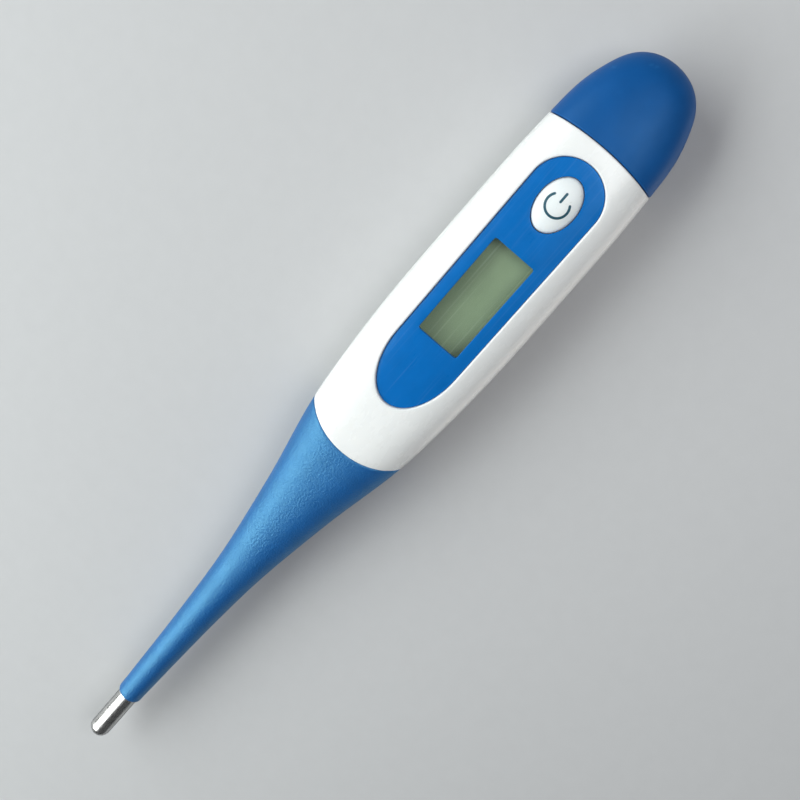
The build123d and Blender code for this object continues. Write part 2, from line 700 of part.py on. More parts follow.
# ---- button cell and its two contacts ----
cell_top_z = CELL_BOTTOM_Z + CELL_HEIGHT
gasket_radius = CELL_RADIUS - CELL_CAN_WALL
lid_radius = gasket_radius - CELL_GASKET_WALL
cavity_z = CELL_BOTTOM_Z + CELL_CAN_WALL
with BuildPart() as battery_can:
    add(disc(CELL_X, 0, CELL_RADIUS, CELL_BOTTOM_Z, cell_top_z - CELL_LID_RISE))
    add(disc(CELL_X, 0, gasket_radius, cavity_z, cell_top_z), mode=Mode.SUBTRACT)
save(battery_can.part, "battery_can")

with BuildPart() as battery_gasket:
    add(disc(CELL_X, 0, gasket_radius, cavity_z, cell_top_z - CELL_LID_RISE))
    add(disc(CELL_X, 0, lid_radius, cavity_z, cell_top_z), mode=Mode.SUBTRACT)
save(battery_gasket.part, "battery_gasket")

with BuildPart() as battery_lid:
    add(disc(CELL_X, 0, lid_radius, cavity_z, cell_top_z))
    fillet(battery_lid.faces().sort_by(Axis.Z)[-1].edges(), CELL_LID_RISE)
save(battery_lid.part, "battery_lid")

with BuildPart() as battery_positive_contact:
    tab_y = (CONTACT_SIDE_Y, CONTACT_SIDE_Y + CONTACT_WIDTH)
    touch_x = CELL_X - (CELL_RADIUS**2 - CONTACT_SIDE_Y**2) ** 0.5
    shelf_z = (BOARD_TOP_Z, BOARD_TOP_Z + CONTACT_THICKNESS)
    add(block((CONTACT_FRONT_X, touch_x), tab_y, shelf_z))
    add(block((touch_x - CONTACT_THICKNESS, touch_x), tab_y, (CONTACT_SLOT_Z, shelf_z[1])))
save(battery_positive_contact.part, "battery_positive_contact")

with BuildPart() as battery_negative_contact:
    post_x = (BOARD_BACK_X - 2 * CONTACT_THICKNESS, BOARD_BACK_X - CONTACT_THICKNESS)
    post_y = (-CONTACT_SIDE_Y - CONTACT_WIDTH, -CONTACT_SIDE_Y)
    tongue_z = (cell_top_z + CONTACT_DIMPLE, cell_top_z + CONTACT_DIMPLE + CONTACT_THICKNESS)
    tongue_y = (-CONTACT_WIDTH / 2, CONTACT_WIDTH / 2)
    add(block(post_x, post_y, (BOARD_TOP_Z, tongue_z[1])))
    add(block((post_x[0], post_x[0] + CONTACT_WIDTH), (post_y[0], tongue_y[1]), tongue_z))
    add(block((post_x[0], CELL_X + CONTACT_WIDTH), tongue_y, tongue_z))
    add(disc(CELL_X, 0, CONTACT_WIDTH / 2, cell_top_z, tongue_z[1]))
save(battery_negative_contact.part, "battery_negative_contact")

# ---- battery cap with its plug and seal ring ----
with BuildPart() as cap_cavity:
    add(cap_inner_form)
    add(slab(PLUG_BACK_X, CAP_CAVITY_BACK_X), mode=Mode.INTERSECT)
    add(channel_block(PLUG_CLEARANCE + PLUG_WALL, PLUG_FRONT_X - 1, PLUG_BACK_X + 1))

with BuildPart() as seal_groove:
    groove = (SEAL_X - SEAL_WIDTH / 2, SEAL_X + SEAL_WIDTH / 2)
    add(channel_block(0, *groove))
    add(channel_block(PLUG_CLEARANCE + SEAL_DEPTH, *groove), mode=Mode.SUBTRACT)

with BuildPart() as battery_cap:
    add(skin)
    add(ahead_of(CAP_EDGE_X, CAP_CROWN_X), mode=Mode.SUBTRACT)
    add(channel_block(PLUG_CLEARANCE, PLUG_FRONT_X, PLUG_BACK_X))
    add(cap_cavity.part, mode=Mode.SUBTRACT)
    add(seal_groove.part, mode=Mode.SUBTRACT)
save(battery_cap.part, "battery_cap")

with BuildPart() as cap_seal_ring:
    add(channel_block(SEAL_CLEARANCE, *groove))
    add(channel_block(PLUG_CLEARANCE + SEAL_DEPTH, *groove), mode=Mode.SUBTRACT)
save(cap_seal_ring.part, "cap_seal_ring")
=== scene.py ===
import bpy
import bmesh
import json
import math
import numpy as np
from mathutils import Matrix, Vector
from mathutils.geometry import delaunay_2d_cdt


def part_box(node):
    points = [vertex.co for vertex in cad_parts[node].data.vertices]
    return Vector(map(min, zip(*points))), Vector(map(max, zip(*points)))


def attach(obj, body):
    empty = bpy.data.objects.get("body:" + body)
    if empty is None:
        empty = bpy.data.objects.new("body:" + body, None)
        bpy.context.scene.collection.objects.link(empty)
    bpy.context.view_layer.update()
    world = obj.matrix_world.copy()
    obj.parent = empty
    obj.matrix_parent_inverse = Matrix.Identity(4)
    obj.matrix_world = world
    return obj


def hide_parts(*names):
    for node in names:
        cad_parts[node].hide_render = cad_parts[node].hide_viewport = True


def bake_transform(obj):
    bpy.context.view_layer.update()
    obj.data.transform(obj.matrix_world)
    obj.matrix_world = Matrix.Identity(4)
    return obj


# Clinical digital thermometer. Lengths below are in millimetres in the CAD model's frame: +X
# from the probe tip to the battery cap, +Z out of the display face, resting on Z = 0. Meshes
# are written in metres.
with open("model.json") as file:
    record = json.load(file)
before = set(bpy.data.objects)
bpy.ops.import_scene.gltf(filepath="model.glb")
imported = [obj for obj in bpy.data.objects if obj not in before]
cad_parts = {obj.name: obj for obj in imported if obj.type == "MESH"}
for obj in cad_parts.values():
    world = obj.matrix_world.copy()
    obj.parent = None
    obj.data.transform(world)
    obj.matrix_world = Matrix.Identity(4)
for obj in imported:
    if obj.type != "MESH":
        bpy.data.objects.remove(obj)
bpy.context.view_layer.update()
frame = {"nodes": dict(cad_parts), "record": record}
nodes = frame["nodes"]
MM = 0.001

# ---- outer form, shared by sleeve, body and cap ----
AXIS_Z = 5.7
# X, half width, half height and superellipse exponent of each cross-section
SECTIONS = (
    (-58.0, 2.07, 2.07, 2.0),
    (-46.0, 2.50, 2.45, 2.0),
    (-34.0, 3.10, 2.90, 2.0),
    (-26.0, 3.75, 3.30, 2.1),
    (-18.0, 4.80, 3.85, 2.2),
    (-9.0, 6.20, 4.60, 2.3),
    (2.0, 8.20, 5.35, 2.5),
    (11.0, 9.00, 5.75, 2.6),
    (20.0, 9.38, 5.95, 2.7),
    (30.0, 9.38, 5.95, 2.7),
    (41.0, 9.20, 5.90, 2.7),
    (49.0, 8.98, 5.75, 2.7),
    (54.5, 8.64, 5.50, 2.6),
    (59.5, 8.08, 5.05, 2.4),
    (63.0, 6.98, 4.35, 2.3),
    (65.5, 5.70, 3.50, 2.1),
    (67.2, 3.85, 2.25, 2.0),
)
TIP_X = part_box("probe_cap")[0].x / MM
END_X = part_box("battery_cap")[1].x / MM

# ---- parting lines: X at their two edges and at the crown of their bow ----
SLEEVE_EDGE_X, SLEEVE_CROWN_X = 3.0, 0.4
CAP_EDGE_X, CAP_CROWN_X = 53.9, 54.7
PARTING_HALF_WIDTH = 8.5
PARTING_GAP = 0.10
SHELL_EDGE_ROUND = 0.22
BODY_FIRST_X = SLEEVE_EDGE_X + SHELL_EDGE_ROUND
BODY_LAST_X = CAP_EDGE_X - PARTING_GAP - SHELL_EDGE_ROUND
# between these the body's rows are straight, beyond them they follow the bows
FRONT_SHIFT_END_X, BACK_SHIFT_START_X = 9.0, 52.5

# ---- panel, window and button ----
PANEL_FRONT_X, PANEL_BACK_X = 10.4, 52.0
PANEL_HALF_WIDTH = 5.2
PANEL_FRONT_ROUND, PANEL_BACK_ROUND = 8.6, 5.1
PANEL_GAP = 0.06
PANEL_UNDERSIDE = 1.0
PANEL_EDGE_ROUND = 0.10
RECESS_LIP, RECESS_DEPTH = 0.40, 1.08
RIM_ROUND = 0.28
SHEET_HALF_WIDTH = 6.6
WINDOW_CENTRE_X, WINDOW_LENGTH, WINDOW_WIDTH = 29.5, 15.9, 6.7
WINDOW_CORNER_RADIUS = 0.3
LENS_MARGIN = 0.7
BUTTON_X, BUTTON_LENGTH, BUTTON_WIDTH = 45.6, 8.0, 5.5
BUTTON_TOP_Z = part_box("power_button")[1].z / MM
BUTTON_BOTTOM_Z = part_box("power_button")[0].z / MM
BUTTON_GAP = 0.10
BUTTON_EDGE_ROUND = 0.28
DOME_SEMI_AXES = (6.05, 4.16, 3.0)
FLANGE_MARGIN = 0.65
FLANGE_TOP_Z, FLANGE_THICKNESS = 10.25, 0.30
SYMBOL_RADIUS, SYMBOL_LINE = 1.6, 0.34
SYMBOL_GAP_DEGREES = 47.0
SYMBOL_BAR_START, SYMBOL_BAR_END = 0.45, 2.05
INK_RISE, INK_DEPTH = 0.012, 0.10
INK_END_WIDTH_SHARE = 0.15
INK_CROSS_SHARES = (-1, -0.4, 0.4, 1)

# ---- inner channel of the body, and the cap's plug in it ----
CHANNEL_FRONT_X = 6.0
CHANNEL_HALF_WIDTH = 7.1
CHANNEL_FLOOR_Z, CHANNEL_CEILING_Z = 1.3, 9.2
CHANNEL_TOP_RADIUS, CHANNEL_BOTTOM_RADIUS = 1.6, 3.0
CHANNEL_MOUTH_LENGTH = 0.5
CHANNEL_BACK_X = BODY_LAST_X - CHANNEL_MOUTH_LENGTH
PLUG_FRONT_X, PLUG_BACK_X = 50.4, 57.0
PLUG_CLEARANCE, PLUG_WALL = 0.06, 0.8
PLUG_EDGE = 0.15
SEAL_X, SEAL_WIDTH, SEAL_DEPTH = 52.4, 0.9, 0.45
SOCKET_BACK_X = 60.0
CAP_BOW_END_X = 58.5

# ---- sleeve and metal tip ----
SEAM_XS = (-26.5, -39.5)
SLEEVE_BACK_X = SLEEVE_EDGE_X - PARTING_GAP
SLEEVE_FRONT_X = SECTIONS[0][0]
SLEEVE_BOW_END_X = -8.0
SLEEVE_STEP = 0.35
SLEEVE_WALL = 1.5
SLEEVE_GRIP_GAP = 0.03
SLEEVE_NOSE_ROUND = 0.33
NOSE_BACK_X, NOSE_FRONT_X = -1.5, -12.0
NOSE_CHAMFER = 0.3
POCKET_BOW_END_X = -1.0
PROBE_RADIUS, PROBE_WALL = 1.72, 0.22
PROBE_BACK_X = -55.4
PROBE_NOSE_FIRST_TURN = 0.05

# ---- sensor leads, a twisted pair with a slack bend behind the sleeve ----
LEADS_LOW, LEADS_HIGH = (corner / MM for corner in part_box("sensor_leads"))
LEADS_Z = (LEADS_LOW.z + LEADS_HIGH.z) / 2
LEAD_RADIUS, LEAD_SPREAD = 0.16, 0.36
LEAD_TWIST_SPAN, LEAD_TWISTS = (-62.0, -12.0), 6
LEAD_SLACK_SPAN, LEAD_SLACK = (-9.0, 5.0), 1.0
LEAD_STEP = 0.5

# ---- picture ----
CAMERA_LENS = 42.75
# degrees: the cap end's lean towards the camera, the long axis in the picture, and its roll
CAMERA_TILT, CAMERA_TURN, CAMERA_ROLL = 16.35, 48.66, 2.44
# a point on the long axis, and where it lies in the camera's own axes
CAMERA_ANCHOR = (10.5, 0, AXIS_Z)
ANCHOR_IN_CAMERA = (-1.15, 1.07, -137.5)
CAMERA_NEAREST = 5.0
FLOOR_REACH = 1500.0

# ---- fineness of the meshes ----
FORM_SAMPLES, SECTION_SAMPLES = 6000, 1500
SIDE_POINTS, TOP_POINTS = 110, 40
RING_START_ANGLE = 0.75
TOP_EDGE_SHARE = 0.999
ROUND_STEPS, PANEL_ROUND_STEPS = 5, 4
PANEL_POINTS, PANEL_END_POINTS = 220, 200
BUTTON_POINTS, BUTTON_CROWN_RINGS = 120, 22
BUTTON_CROWN_START = 0.04
WINDOW_POINTS, WINDOW_CORNER_POINTS = 160, 8
SYMBOL_RING_POINTS, SYMBOL_BAR_POINTS = 110, 30
CHANNEL_CORNER_POINTS, CHANNEL_STATIONS = 30, 48
BODY_STATIONS, NOSE_STATIONS, POCKET_STATIONS = 110, 12, 14
PROBE_NOSE_RINGS, PROBE_TUBE_RINGS = 24, 12
LEAD_POINTS = 12
CAP_SAMPLE_STEP, CAP_LAST_GAP = 14, 0.02
TOP_GRID, RECESS_GRID, PANEL_GRID = 0.5, 0.8, 0.6
GRID_MARGIN_SHARE = 0.45
MERGE_TOLERANCE = 1e-7
WELD_DISTANCE, SLIVER_SIZE = 0.002, 0.0001
SHARP_EDGE_DEGREES = 40


def cubic_spline(knots, values, places):
    """Natural cubic spline through values at knots, evaluated at places."""
    count = len(knots)
    gaps = np.diff(knots)
    system = np.eye(count)
    right = np.zeros(count)
    for i in range(1, count - 1):
        system[i, i - 1:i + 2] = gaps[i - 1], 2 * (gaps[i - 1] + gaps[i]), gaps[i]
        slopes = np.diff(values[i - 1:i + 2]) / gaps[i - 1:i + 1]
        right[i] = 6 * (slopes[1] - slopes[0])
    bend = np.linalg.solve(system, right)
    span = np.clip(np.searchsorted(knots, places) - 1, 0, count - 2)
    width = gaps[span]
    after = (places - knots[span]) / width
    before = 1 - after
    curve = (before**3 - before) * bend[span] + (after**3 - after) * bend[span + 1]
    return before * values[span] + after * values[span + 1] + curve * width**2 / 6


def distances(path):
    """Distance along a path from its start to each of its points."""
    steps = np.linalg.norm(np.diff(path, axis=0), axis=1)
    return np.concatenate([[0], np.cumsum(steps)])


def form_table():
    """The outer form sampled finely along its length, with a round closed end."""
    rows = [*SECTIONS, (END_X, 0.0, 0.0, 2.0)]
    mirrored = [(x, -half_width, -half_height, exponent)
                for x, half_width, half_height, exponent in reversed(SECTIONS[-3:])]
    rows = np.array(rows + mirrored)
    knots = distances(rows[:, :2])
    places = np.linspace(0, knots[len(SECTIONS)], FORM_SAMPLES)
    return [cubic_spline(knots, column, places) for column in rows.T]


FORM_X, FORM_HALF_WIDTH, FORM_HALF_HEIGHT, FORM_EXPONENT = form_table()


def form_at(x, inset=0.0):
    """Half width, half height and exponent of the outer form at X, shrunk by inset."""
    half_width = np.interp(x, FORM_X, FORM_HALF_WIDTH) - inset
    half_height = np.interp(x, FORM_X, FORM_HALF_HEIGHT) - inset
    exponent = np.interp(x, FORM_X, FORM_EXPONENT)
    return np.maximum(half_width, 0), np.maximum(half_height, 0), exponent


def signed_power(value, power):
    """A power that keeps the sign of its value."""
    return np.sign(value) * np.abs(value) ** power


def skin_point(x, angle, inset=0.0):
    """Points on the outer form at X and an angle from +Y towards +Z, resting on Z = 0."""
    half_width, half_height, exponent = form_at(x, inset)
    across = half_width * signed_power(np.cos(angle), 2 / exponent)
    up = AXIS_Z + half_height * signed_power(np.sin(angle), 2 / exponent)
    return np.stack([np.broadcast_to(x, np.shape(across)), across, np.maximum(up, inset)], -1)


def top_height(x, y, drop=0.0):
    """Height of the outer form's top above a point of the plan, lowered by drop."""
    half_width, half_height, exponent = form_at(x)
    share = np.clip(np.abs(y) / half_width, 0, TOP_EDGE_SHARE)
    return AXIS_Z + half_height * (1 - share**exponent) ** (1 / exponent) - drop


def even_angles(x, start, end, count):
    """Angles that space points evenly around the cross-section at X, from start to end."""
    fine = np.linspace(start, end, SECTION_SAMPLES)
    along = distances(skin_point(x, fine))
    return np.interp(np.linspace(0, along[-1], count), along, fine)


def progress(x, start, end):
    """How far X is on the way from start to end, from 0 to 1."""
    return np.clip((x - start) / (end - start), 0, 1)


def bow_share(y):
    """Share of a parting line's bow at Y: all of it in the middle, none at the edges."""
    return 1 - np.clip(np.abs(y) / PARTING_HALF_WIDTH, 0, 1) ** 2


def parting_shift(x, y):
    """How far X moves so that both ends of the body follow their curved parting lines."""
    front = progress(x, FRONT_SHIFT_END_X, BODY_FIRST_X)
    back = progress(x, BACK_SHIFT_START_X, BODY_LAST_X)
    shift_front = (SLEEVE_CROWN_X - SLEEVE_EDGE_X) * front**2
    shift_back = (CAP_CROWN_X - CAP_EDGE_X) * back
    return bow_share(y) * (shift_front + shift_back)


class Shell:
    """Collects points and faces of one closed piece, in millimetres."""

    def __init__(self):
        self.points = []
        self.faces = []

    def add_points(self, points):
        """Adds points and returns their indices."""
        first = len(self.points)
        self.points.extend(np.asarray(points, float).reshape(-1, 3))
        return list(range(first, len(self.points)))

    def strip(self, ring_a, ring_b, closed=True):
        """Quads between two rings of the same length."""
        count = len(ring_a)
        for i in range(count if closed else count - 1):
            j = (i + 1) % count
            self.faces.append((ring_a[i], ring_a[j], ring_b[j], ring_b[i]))

    def rings(self, rings, closed=True):
        """Quads through a list of point rings; returns the indices of each ring."""
        indexed = [self.add_points(ring) for ring in rings]
        for ring_a, ring_b in zip(indexed, indexed[1:]):
            self.strip(ring_a, ring_b, closed)
        return indexed

    def solid(self, rings):
        """Quads through a list of point rings, with a lid on the first and the last."""
        indexed = self.rings(rings)
        self.lid(indexed[0])
        self.lid(indexed[-1])

    def lid(self, ring):
        """Closes a ring with a fan around its middle."""
        middle = self.add_points([np.mean([self.points[i] for i in ring], axis=0)])[0]
        for i, start in enumerate(ring):
            self.faces.append((start, ring[(i + 1) % len(ring)], middle))

    def patch(self, loops, lift, spacing):
        """A triangulated sheet over a plan bounded by loops, its points lifted into place."""
        loops = [np.asarray(loop, float) for loop in loops]
        plan = [Vector(point) for loop in loops for point in loop]
        plan += [Vector(point) for point in grid_between(loops, spacing)]
        edges = []
        first = 0
        for loop in loops:
            count = len(loop)
            edges += [(first + i, first + (i + 1) % count) for i in range(count)]
            first += count
        sheet = delaunay_2d_cdt(plan, edges, [], 0, MERGE_TOLERANCE)
        flat = np.array([tuple(point) for point in sheet[0]])
        triangles = np.array(sheet[2])
        wanted = between_loops(flat[triangles].mean(1), loops)
        indices = self.add_points(lift(flat))
        for a, b, c in triangles[wanted]:
            self.faces.append((indices[a], indices[b], indices[c]))

    def piece(self, name, material):
        """Makes the Blender object: welded, closed, smooth except at sharp edges."""
        mesh = bpy.data.meshes.new(name)
        mesh.from_pydata([tuple(p * MM) for p in self.points], [], self.faces)
        shape = bmesh.new()
        shape.from_mesh(mesh)
        bmesh.ops.remove_doubles(shape, verts=shape.verts, dist=WELD_DISTANCE * MM)
        bmesh.ops.dissolve_degenerate(shape, edges=shape.edges, dist=SLIVER_SIZE * MM)
        loose = [v for v in shape.verts if not v.link_faces]
        bmesh.ops.delete(shape, geom=loose, context="VERTS")
        bmesh.ops.recalc_face_normals(shape, faces=shape.faces)
        for face in shape.faces:
            face.smooth = True
        shape.to_mesh(mesh)
        shape.free()
        mesh.set_sharp_from_angle(angle=math.radians(SHARP_EDGE_DEGREES))
        mesh.materials.append(material)
        thing = bpy.data.objects.new(name, mesh)
        bpy.context.scene.collection.objects.link(thing)
        return thing


def inside_loop(points, loop):
    """Which plan points lie inside a closed loop."""
    x, y = points[:, 0], points[:, 1]
    result = np.zeros(len(points), bool)
    for (x0, y0), (x1, y1) in zip(loop, np.roll(loop, -1, axis=0)):
        crosses = (y0 > y) != (y1 > y)
        if y1 != y0:
            result ^= crosses & (x < (x1 - x0) * (y - y0) / (y1 - y0) + x0)
    return result


def distance_to_loop(points, loop):
    """Distance from each plan point to the nearest segment of a loop."""
    nearest = np.full(len(points), np.inf)
    for start, end in zip(loop, np.roll(loop, -1, axis=0)):
        along = end - start
        share = np.clip((points - start) @ along / (along @ along), 0, 1)
        gap = np.linalg.norm(points - (start + share[:, None] * along), axis=1)
        nearest = np.minimum(nearest, gap)
    return nearest


def between_loops(points, loops):
    """Which plan points lie inside the first loop and outside the others."""
    result = inside_loop(points, loops[0])
    for loop in loops[1:]:
        result &= ~inside_loop(points, loop)
    return result


def grid_between(loops, spacing):
    """Evenly spaced plan points inside the first loop, clear of every loop."""
    low, high = loops[0].min(0), loops[0].max(0)
    grid_x = np.arange(low[0] + spacing / 2, high[0], spacing)
    grid_y = np.arange(low[1] + spacing / 2, high[1], spacing)
    grid = np.stack(np.meshgrid(grid_x, grid_y), -1).reshape(-1, 2)
    wanted = between_loops(grid, loops)
    for loop in loops:
        wanted &= distance_to_loop(grid, loop) > spacing * GRID_MARGIN_SHARE
    return grid[wanted]


def even_points(path, count, closed=True):
    """Spaces count points evenly along a flat path, open or closed."""
    if closed:
        path = np.vstack([path, path[:1]])
    along = distances(path)
    places = np.linspace(0, along[-1], count, endpoint=not closed)
    return np.stack([np.interp(places, along, values) for values in path.T], -1)


def panel_loop(margin):
    """The panel's outline in plan: straight sides, long elliptical front, blunter back."""
    front_centre = PANEL_FRONT_X + PANEL_FRONT_ROUND
    back_centre = PANEL_BACK_X - PANEL_BACK_ROUND
    half_width = PANEL_HALF_WIDTH + margin
    turn = np.linspace(-math.pi / 2, math.pi / 2, PANEL_END_POINTS)
    back = np.stack([back_centre + (PANEL_BACK_ROUND + margin) * np.cos(turn),
                     half_width * np.sin(turn)], -1)
    front = np.stack([front_centre - (PANEL_FRONT_ROUND + margin) * np.cos(turn),
                      -half_width * np.sin(turn)], -1)
    return even_points(np.vstack([back, front]), PANEL_POINTS)


def button_loop(margin):
    """The button's oval outline in plan."""
    turn = np.linspace(0, 2 * math.pi, BUTTON_POINTS, endpoint=False)
    return np.stack([BUTTON_X + (BUTTON_LENGTH / 2 + margin) * np.cos(turn),
                     (BUTTON_WIDTH / 2 + margin) * np.sin(turn)], -1)


def window_loop(margin):
    """The window's outline in plan, with small round corners."""
    radius = WINDOW_CORNER_RADIUS
    half_x = WINDOW_LENGTH / 2 + margin - radius
    half_y = WINDOW_WIDTH / 2 + margin - radius
    turn = np.linspace(0, math.pi / 2, WINDOW_CORNER_POINTS)
    corners = []
    for number, (side_x, side_y) in enumerate(((1, 1), (-1, 1), (-1, -1), (1, -1))):
        angle = turn + number * math.pi / 2
        corners.append(np.stack([WINDOW_CENTRE_X + side_x * half_x + radius * np.cos(angle),
                                 side_y * half_y + radius * np.sin(angle)], -1))
    return even_points(np.vstack(corners), WINDOW_POINTS)


def on_top(plan, drop=0.0):
    """Raises plan points to the outer form's top, lowered by drop."""
    x, y = plan[:, 0], plan[:, 1]
    return np.stack([x, y, top_height(x, y, drop)], -1)


def at_level(plan, z):
    """Raises plan points to one height."""
    return np.column_stack([plan, np.full(len(plan), z)])


def rounding(radius, steps=ROUND_STEPS):
    """Pairs of (distance back from the end, inset) around a rounded edge."""
    turns = np.linspace(0, math.pi / 2, steps)
    return [(radius * (1 - math.sin(turn)), radius * (1 - math.cos(turn))) for turn in turns]


# ---- materials ----
COAT_ROUGHNESS = 0.1
SUBSURFACE_DEPTHS = (2.4, 2.2, 2.0)
STREAK_PALENESS = 0.12
SCUFF_STRENGTH = 0.7
TARNISH = 0.9
METAL_GLOSS_SHARES = (0.7, 1.5)


def shader(name, color, roughness, metallic=0.0, specular=0.5, coat=0.0, subsurface=0.0,
           tint=(1, 1, 1), ior=1.5):
    """A Principled material with its constant values set; also returns its tree and shader."""
    material = bpy.data.materials.new(name)
    material.use_nodes = True
    material.diffuse_color = (*color, 1)
    tree = material.node_tree
    principled = tree.nodes["Principled BSDF"]
    values = {
        "Base Color": (*color, 1),
        "Roughness": roughness,
        "Metallic": metallic,
        "IOR": ior,
        "Specular IOR Level": specular,
        "Specular Tint": (*tint, 1),
        "Coat Weight": coat,
        "Coat Roughness": COAT_ROUGHNESS,
        "Subsurface Weight": subsurface,
        "Subsurface Radius": [depth * MM for depth in SUBSURFACE_DEPTHS],
        "Subsurface Scale": 1.0,
    }
    for socket, value in values.items():
        principled.inputs[socket].default_value = value
    return material, tree, principled


def noise(tree, scale, detail=3.0, roughness=0.55, stretch=(1, 1, 1)):
    """Noise with scale features per millimetre; a small stretch factor makes it long on an axis."""
    coordinates = tree.nodes.new("ShaderNodeTexCoord")
    mapping = tree.nodes.new("ShaderNodeMapping")
    mapping.inputs["Scale"].default_value = [factor / MM for factor in stretch]
    node = tree.nodes.new("ShaderNodeTexNoise")
    node.inputs["Scale"].default_value = scale
    node.inputs["Detail"].default_value = detail
    node.inputs["Roughness"].default_value = roughness
    tree.links.new(coordinates.outputs["Object"], mapping.inputs["Vector"])
    tree.links.new(mapping.outputs["Vector"], node.inputs["Vector"])
    return node.outputs["Fac"]


def remap(tree, factor, low, high, start=0.3, end=0.7):
    """Maps a factor's range start..end onto low..high."""
    node = tree.nodes.new("ShaderNodeMapRange")
    limits = {"From Min": start, "From Max": end, "To Min": low, "To Max": high}
    for socket, value in limits.items():
        node.inputs[socket].default_value = value
    tree.links.new(factor, node.inputs["Value"])
    return node.outputs["Result"]


def blend_colors(tree, factor, first, second):
    """Mixes two colours, or a colour link and a colour, by a factor."""
    node = tree.nodes.new("ShaderNodeMix")
    node.data_type = "RGBA"
    tree.links.new(factor, node.inputs["Factor"])
    for socket, color in (("A", first), ("B", second)):
        target = [s for s in node.inputs if s.name == socket and s.type == "RGBA"][0]
        if isinstance(color, tuple):
            target.default_value = (*color, 1)
        else:
            tree.links.new(color, target)
    return [s for s in node.outputs if s.type == "RGBA"][0]


def bump(tree, principled, height, distance):
    """Roughens the shading by a height factor, distance deep in millimetres."""
    node = tree.nodes.new("ShaderNodeBump")
    node.inputs["Distance"].default_value = distance * MM
    tree.links.new(height, node.inputs["Height"])
    tree.links.new(node.outputs["Normal"], principled.inputs["Normal"])


def edge_wear(tree):
    """A factor that is high on convex edges, where wear shows."""
    geometry = tree.nodes.new("ShaderNodeNewGeometry")
    return remap(tree, geometry.outputs["Pointiness"], 0, 1, start=0.57, end=0.68)


def plastic(name, color, variation, roughness, roughness_spread=0.05, grain=26.0,
            grain_depth=0.002, coat=0.0, wear=None, scuff=None, specular=0.5, subsurface=0.0,
            streaks=0.0, tint=(1, 1, 1), ior=1.5):
    """Moulded plastic or rubber: mottled colour, uneven gloss, fine grain, worn edges, scuffs."""
    material, tree, principled = shader(name, color, roughness, coat=coat, specular=specular,
                                        subsurface=subsurface, tint=tint, ior=ior)
    mottle = remap(tree, noise(tree, 0.35, detail=4.0), 0, 1)
    darker = tuple(channel * (1 - variation) for channel in color)
    lighter = tuple(min(1.0, channel * (1 + variation)) for channel in color)
    shade = blend_colors(tree, mottle, darker, lighter)
    if streaks:
        lines = noise(tree, 3.2, detail=2.0, roughness=0.4, stretch=(0.02, 1, 1))
        streak = remap(tree, lines, 0, streaks, start=0.56, end=0.74)
        pale = tuple(min(1.0, channel + STREAK_PALENESS) for channel in color)
        shade = blend_colors(tree, streak, shade, pale)
    if wear:
        shade = blend_colors(tree, edge_wear(tree), shade, wear)
    if scuff:
        rubbed = noise(tree, 1.1, detail=6.0, roughness=0.7, stretch=(0.5, 1, 1))
        rub = remap(tree, rubbed, 0, SCUFF_STRENGTH, start=0.62, end=0.78)
        shade = blend_colors(tree, rub, shade, scuff)
    tree.links.new(shade, principled.inputs["Base Color"])
    smears = noise(tree, 0.6, detail=5.0, roughness=0.6, stretch=(0.4, 1, 1))
    gloss = remap(tree, smears, roughness - roughness_spread, roughness + roughness_spread)
    tree.links.new(gloss, principled.inputs["Roughness"])
    bump(tree, principled, noise(tree, grain, roughness=0.6), grain_depth)
    return material


def metal(name, color, roughness, stretch=(1, 1, 1), grain=18.0, depth=0.0006, edge=(1, 1, 1)):
    """Polished or brushed metal with fine lines and slight tarnish; a dark edge tint is painted
    shade that dims its reflections towards grazing angles.
    """
    material, tree, principled = shader(name, color, roughness, metallic=1.0, tint=edge)
    lines = noise(tree, grain, roughness=0.6, stretch=stretch)
    cloud = remap(tree, noise(tree, 0.8), 0, 1)
    shade = blend_colors(tree, cloud, tuple(channel * TARNISH for channel in color), color)
    tree.links.new(shade, principled.inputs["Base Color"])
    gloss = remap(tree, lines, *[roughness * share for share in METAL_GLOSS_SHARES])
    tree.links.new(gloss, principled.inputs["Roughness"])
    bump(tree, principled, lines, depth)
    return material


def clear_cover(name):
    """Thin clear plastic: see-through, with a faint glossy reflection and fine streaks."""
    material, tree, principled = shader(name, color=(0.9, 0.95, 0.93), roughness=0.08)
    streak = noise(tree, 2.4, detail=2.0, roughness=0.4, stretch=(0.03, 1, 1))
    gloss = remap(tree, streak, 0.03, 0.2, start=0.4)
    tree.links.new(gloss, principled.inputs["Roughness"])
    bump(tree, principled, streak, 0.001)
    clear = tree.nodes.new("ShaderNodeBsdfTransparent")
    clear.inputs["Color"].default_value = (0.95, 0.97, 0.95, 1)
    fresnel = tree.nodes.new("ShaderNodeFresnel")
    fresnel.inputs["IOR"].default_value = 1.35
    reflection = remap(tree, fresnel.outputs["Fac"], 0.012, 0.5, start=0.0, end=1.0)
    mix = tree.nodes.new("ShaderNodeMixShader")
    tree.links.new(reflection, mix.inputs["Fac"])
    tree.links.new(clear.outputs["BSDF"], mix.inputs[1])
    tree.links.new(principled.outputs["BSDF"], mix.inputs[2])
    tree.links.new(mix.outputs["Shader"], tree.nodes["Material Output"].inputs["Surface"])
    return material


def display(name):
    """Blank reflective display: grey-green, faintly mottled, with pale lines along X."""
    material, tree, principled = shader(name, color=(0.290, 0.375, 0.240), roughness=0.35,
                                        specular=0.35)
    cloud = remap(tree, noise(tree, 0.25, stretch=(0.5, 1, 1)), 0, 1)
    shade = blend_colors(tree, cloud, (0.270, 0.350, 0.225), (0.315, 0.405, 0.258))
    lines = noise(tree, 1.5, detail=1.5, roughness=0.3, stretch=(0.012, 1, 1))
    pale = remap(tree, lines, 0, 0.5, start=0.60, end=0.68)
    shade = blend_colors(tree, pale, shade, (0.50, 0.60, 0.44))
    tree.links.new(shade, principled.inputs["Base Color"])
    bump(tree, principled, noise(tree, 30.0), 0.0008)
    return material


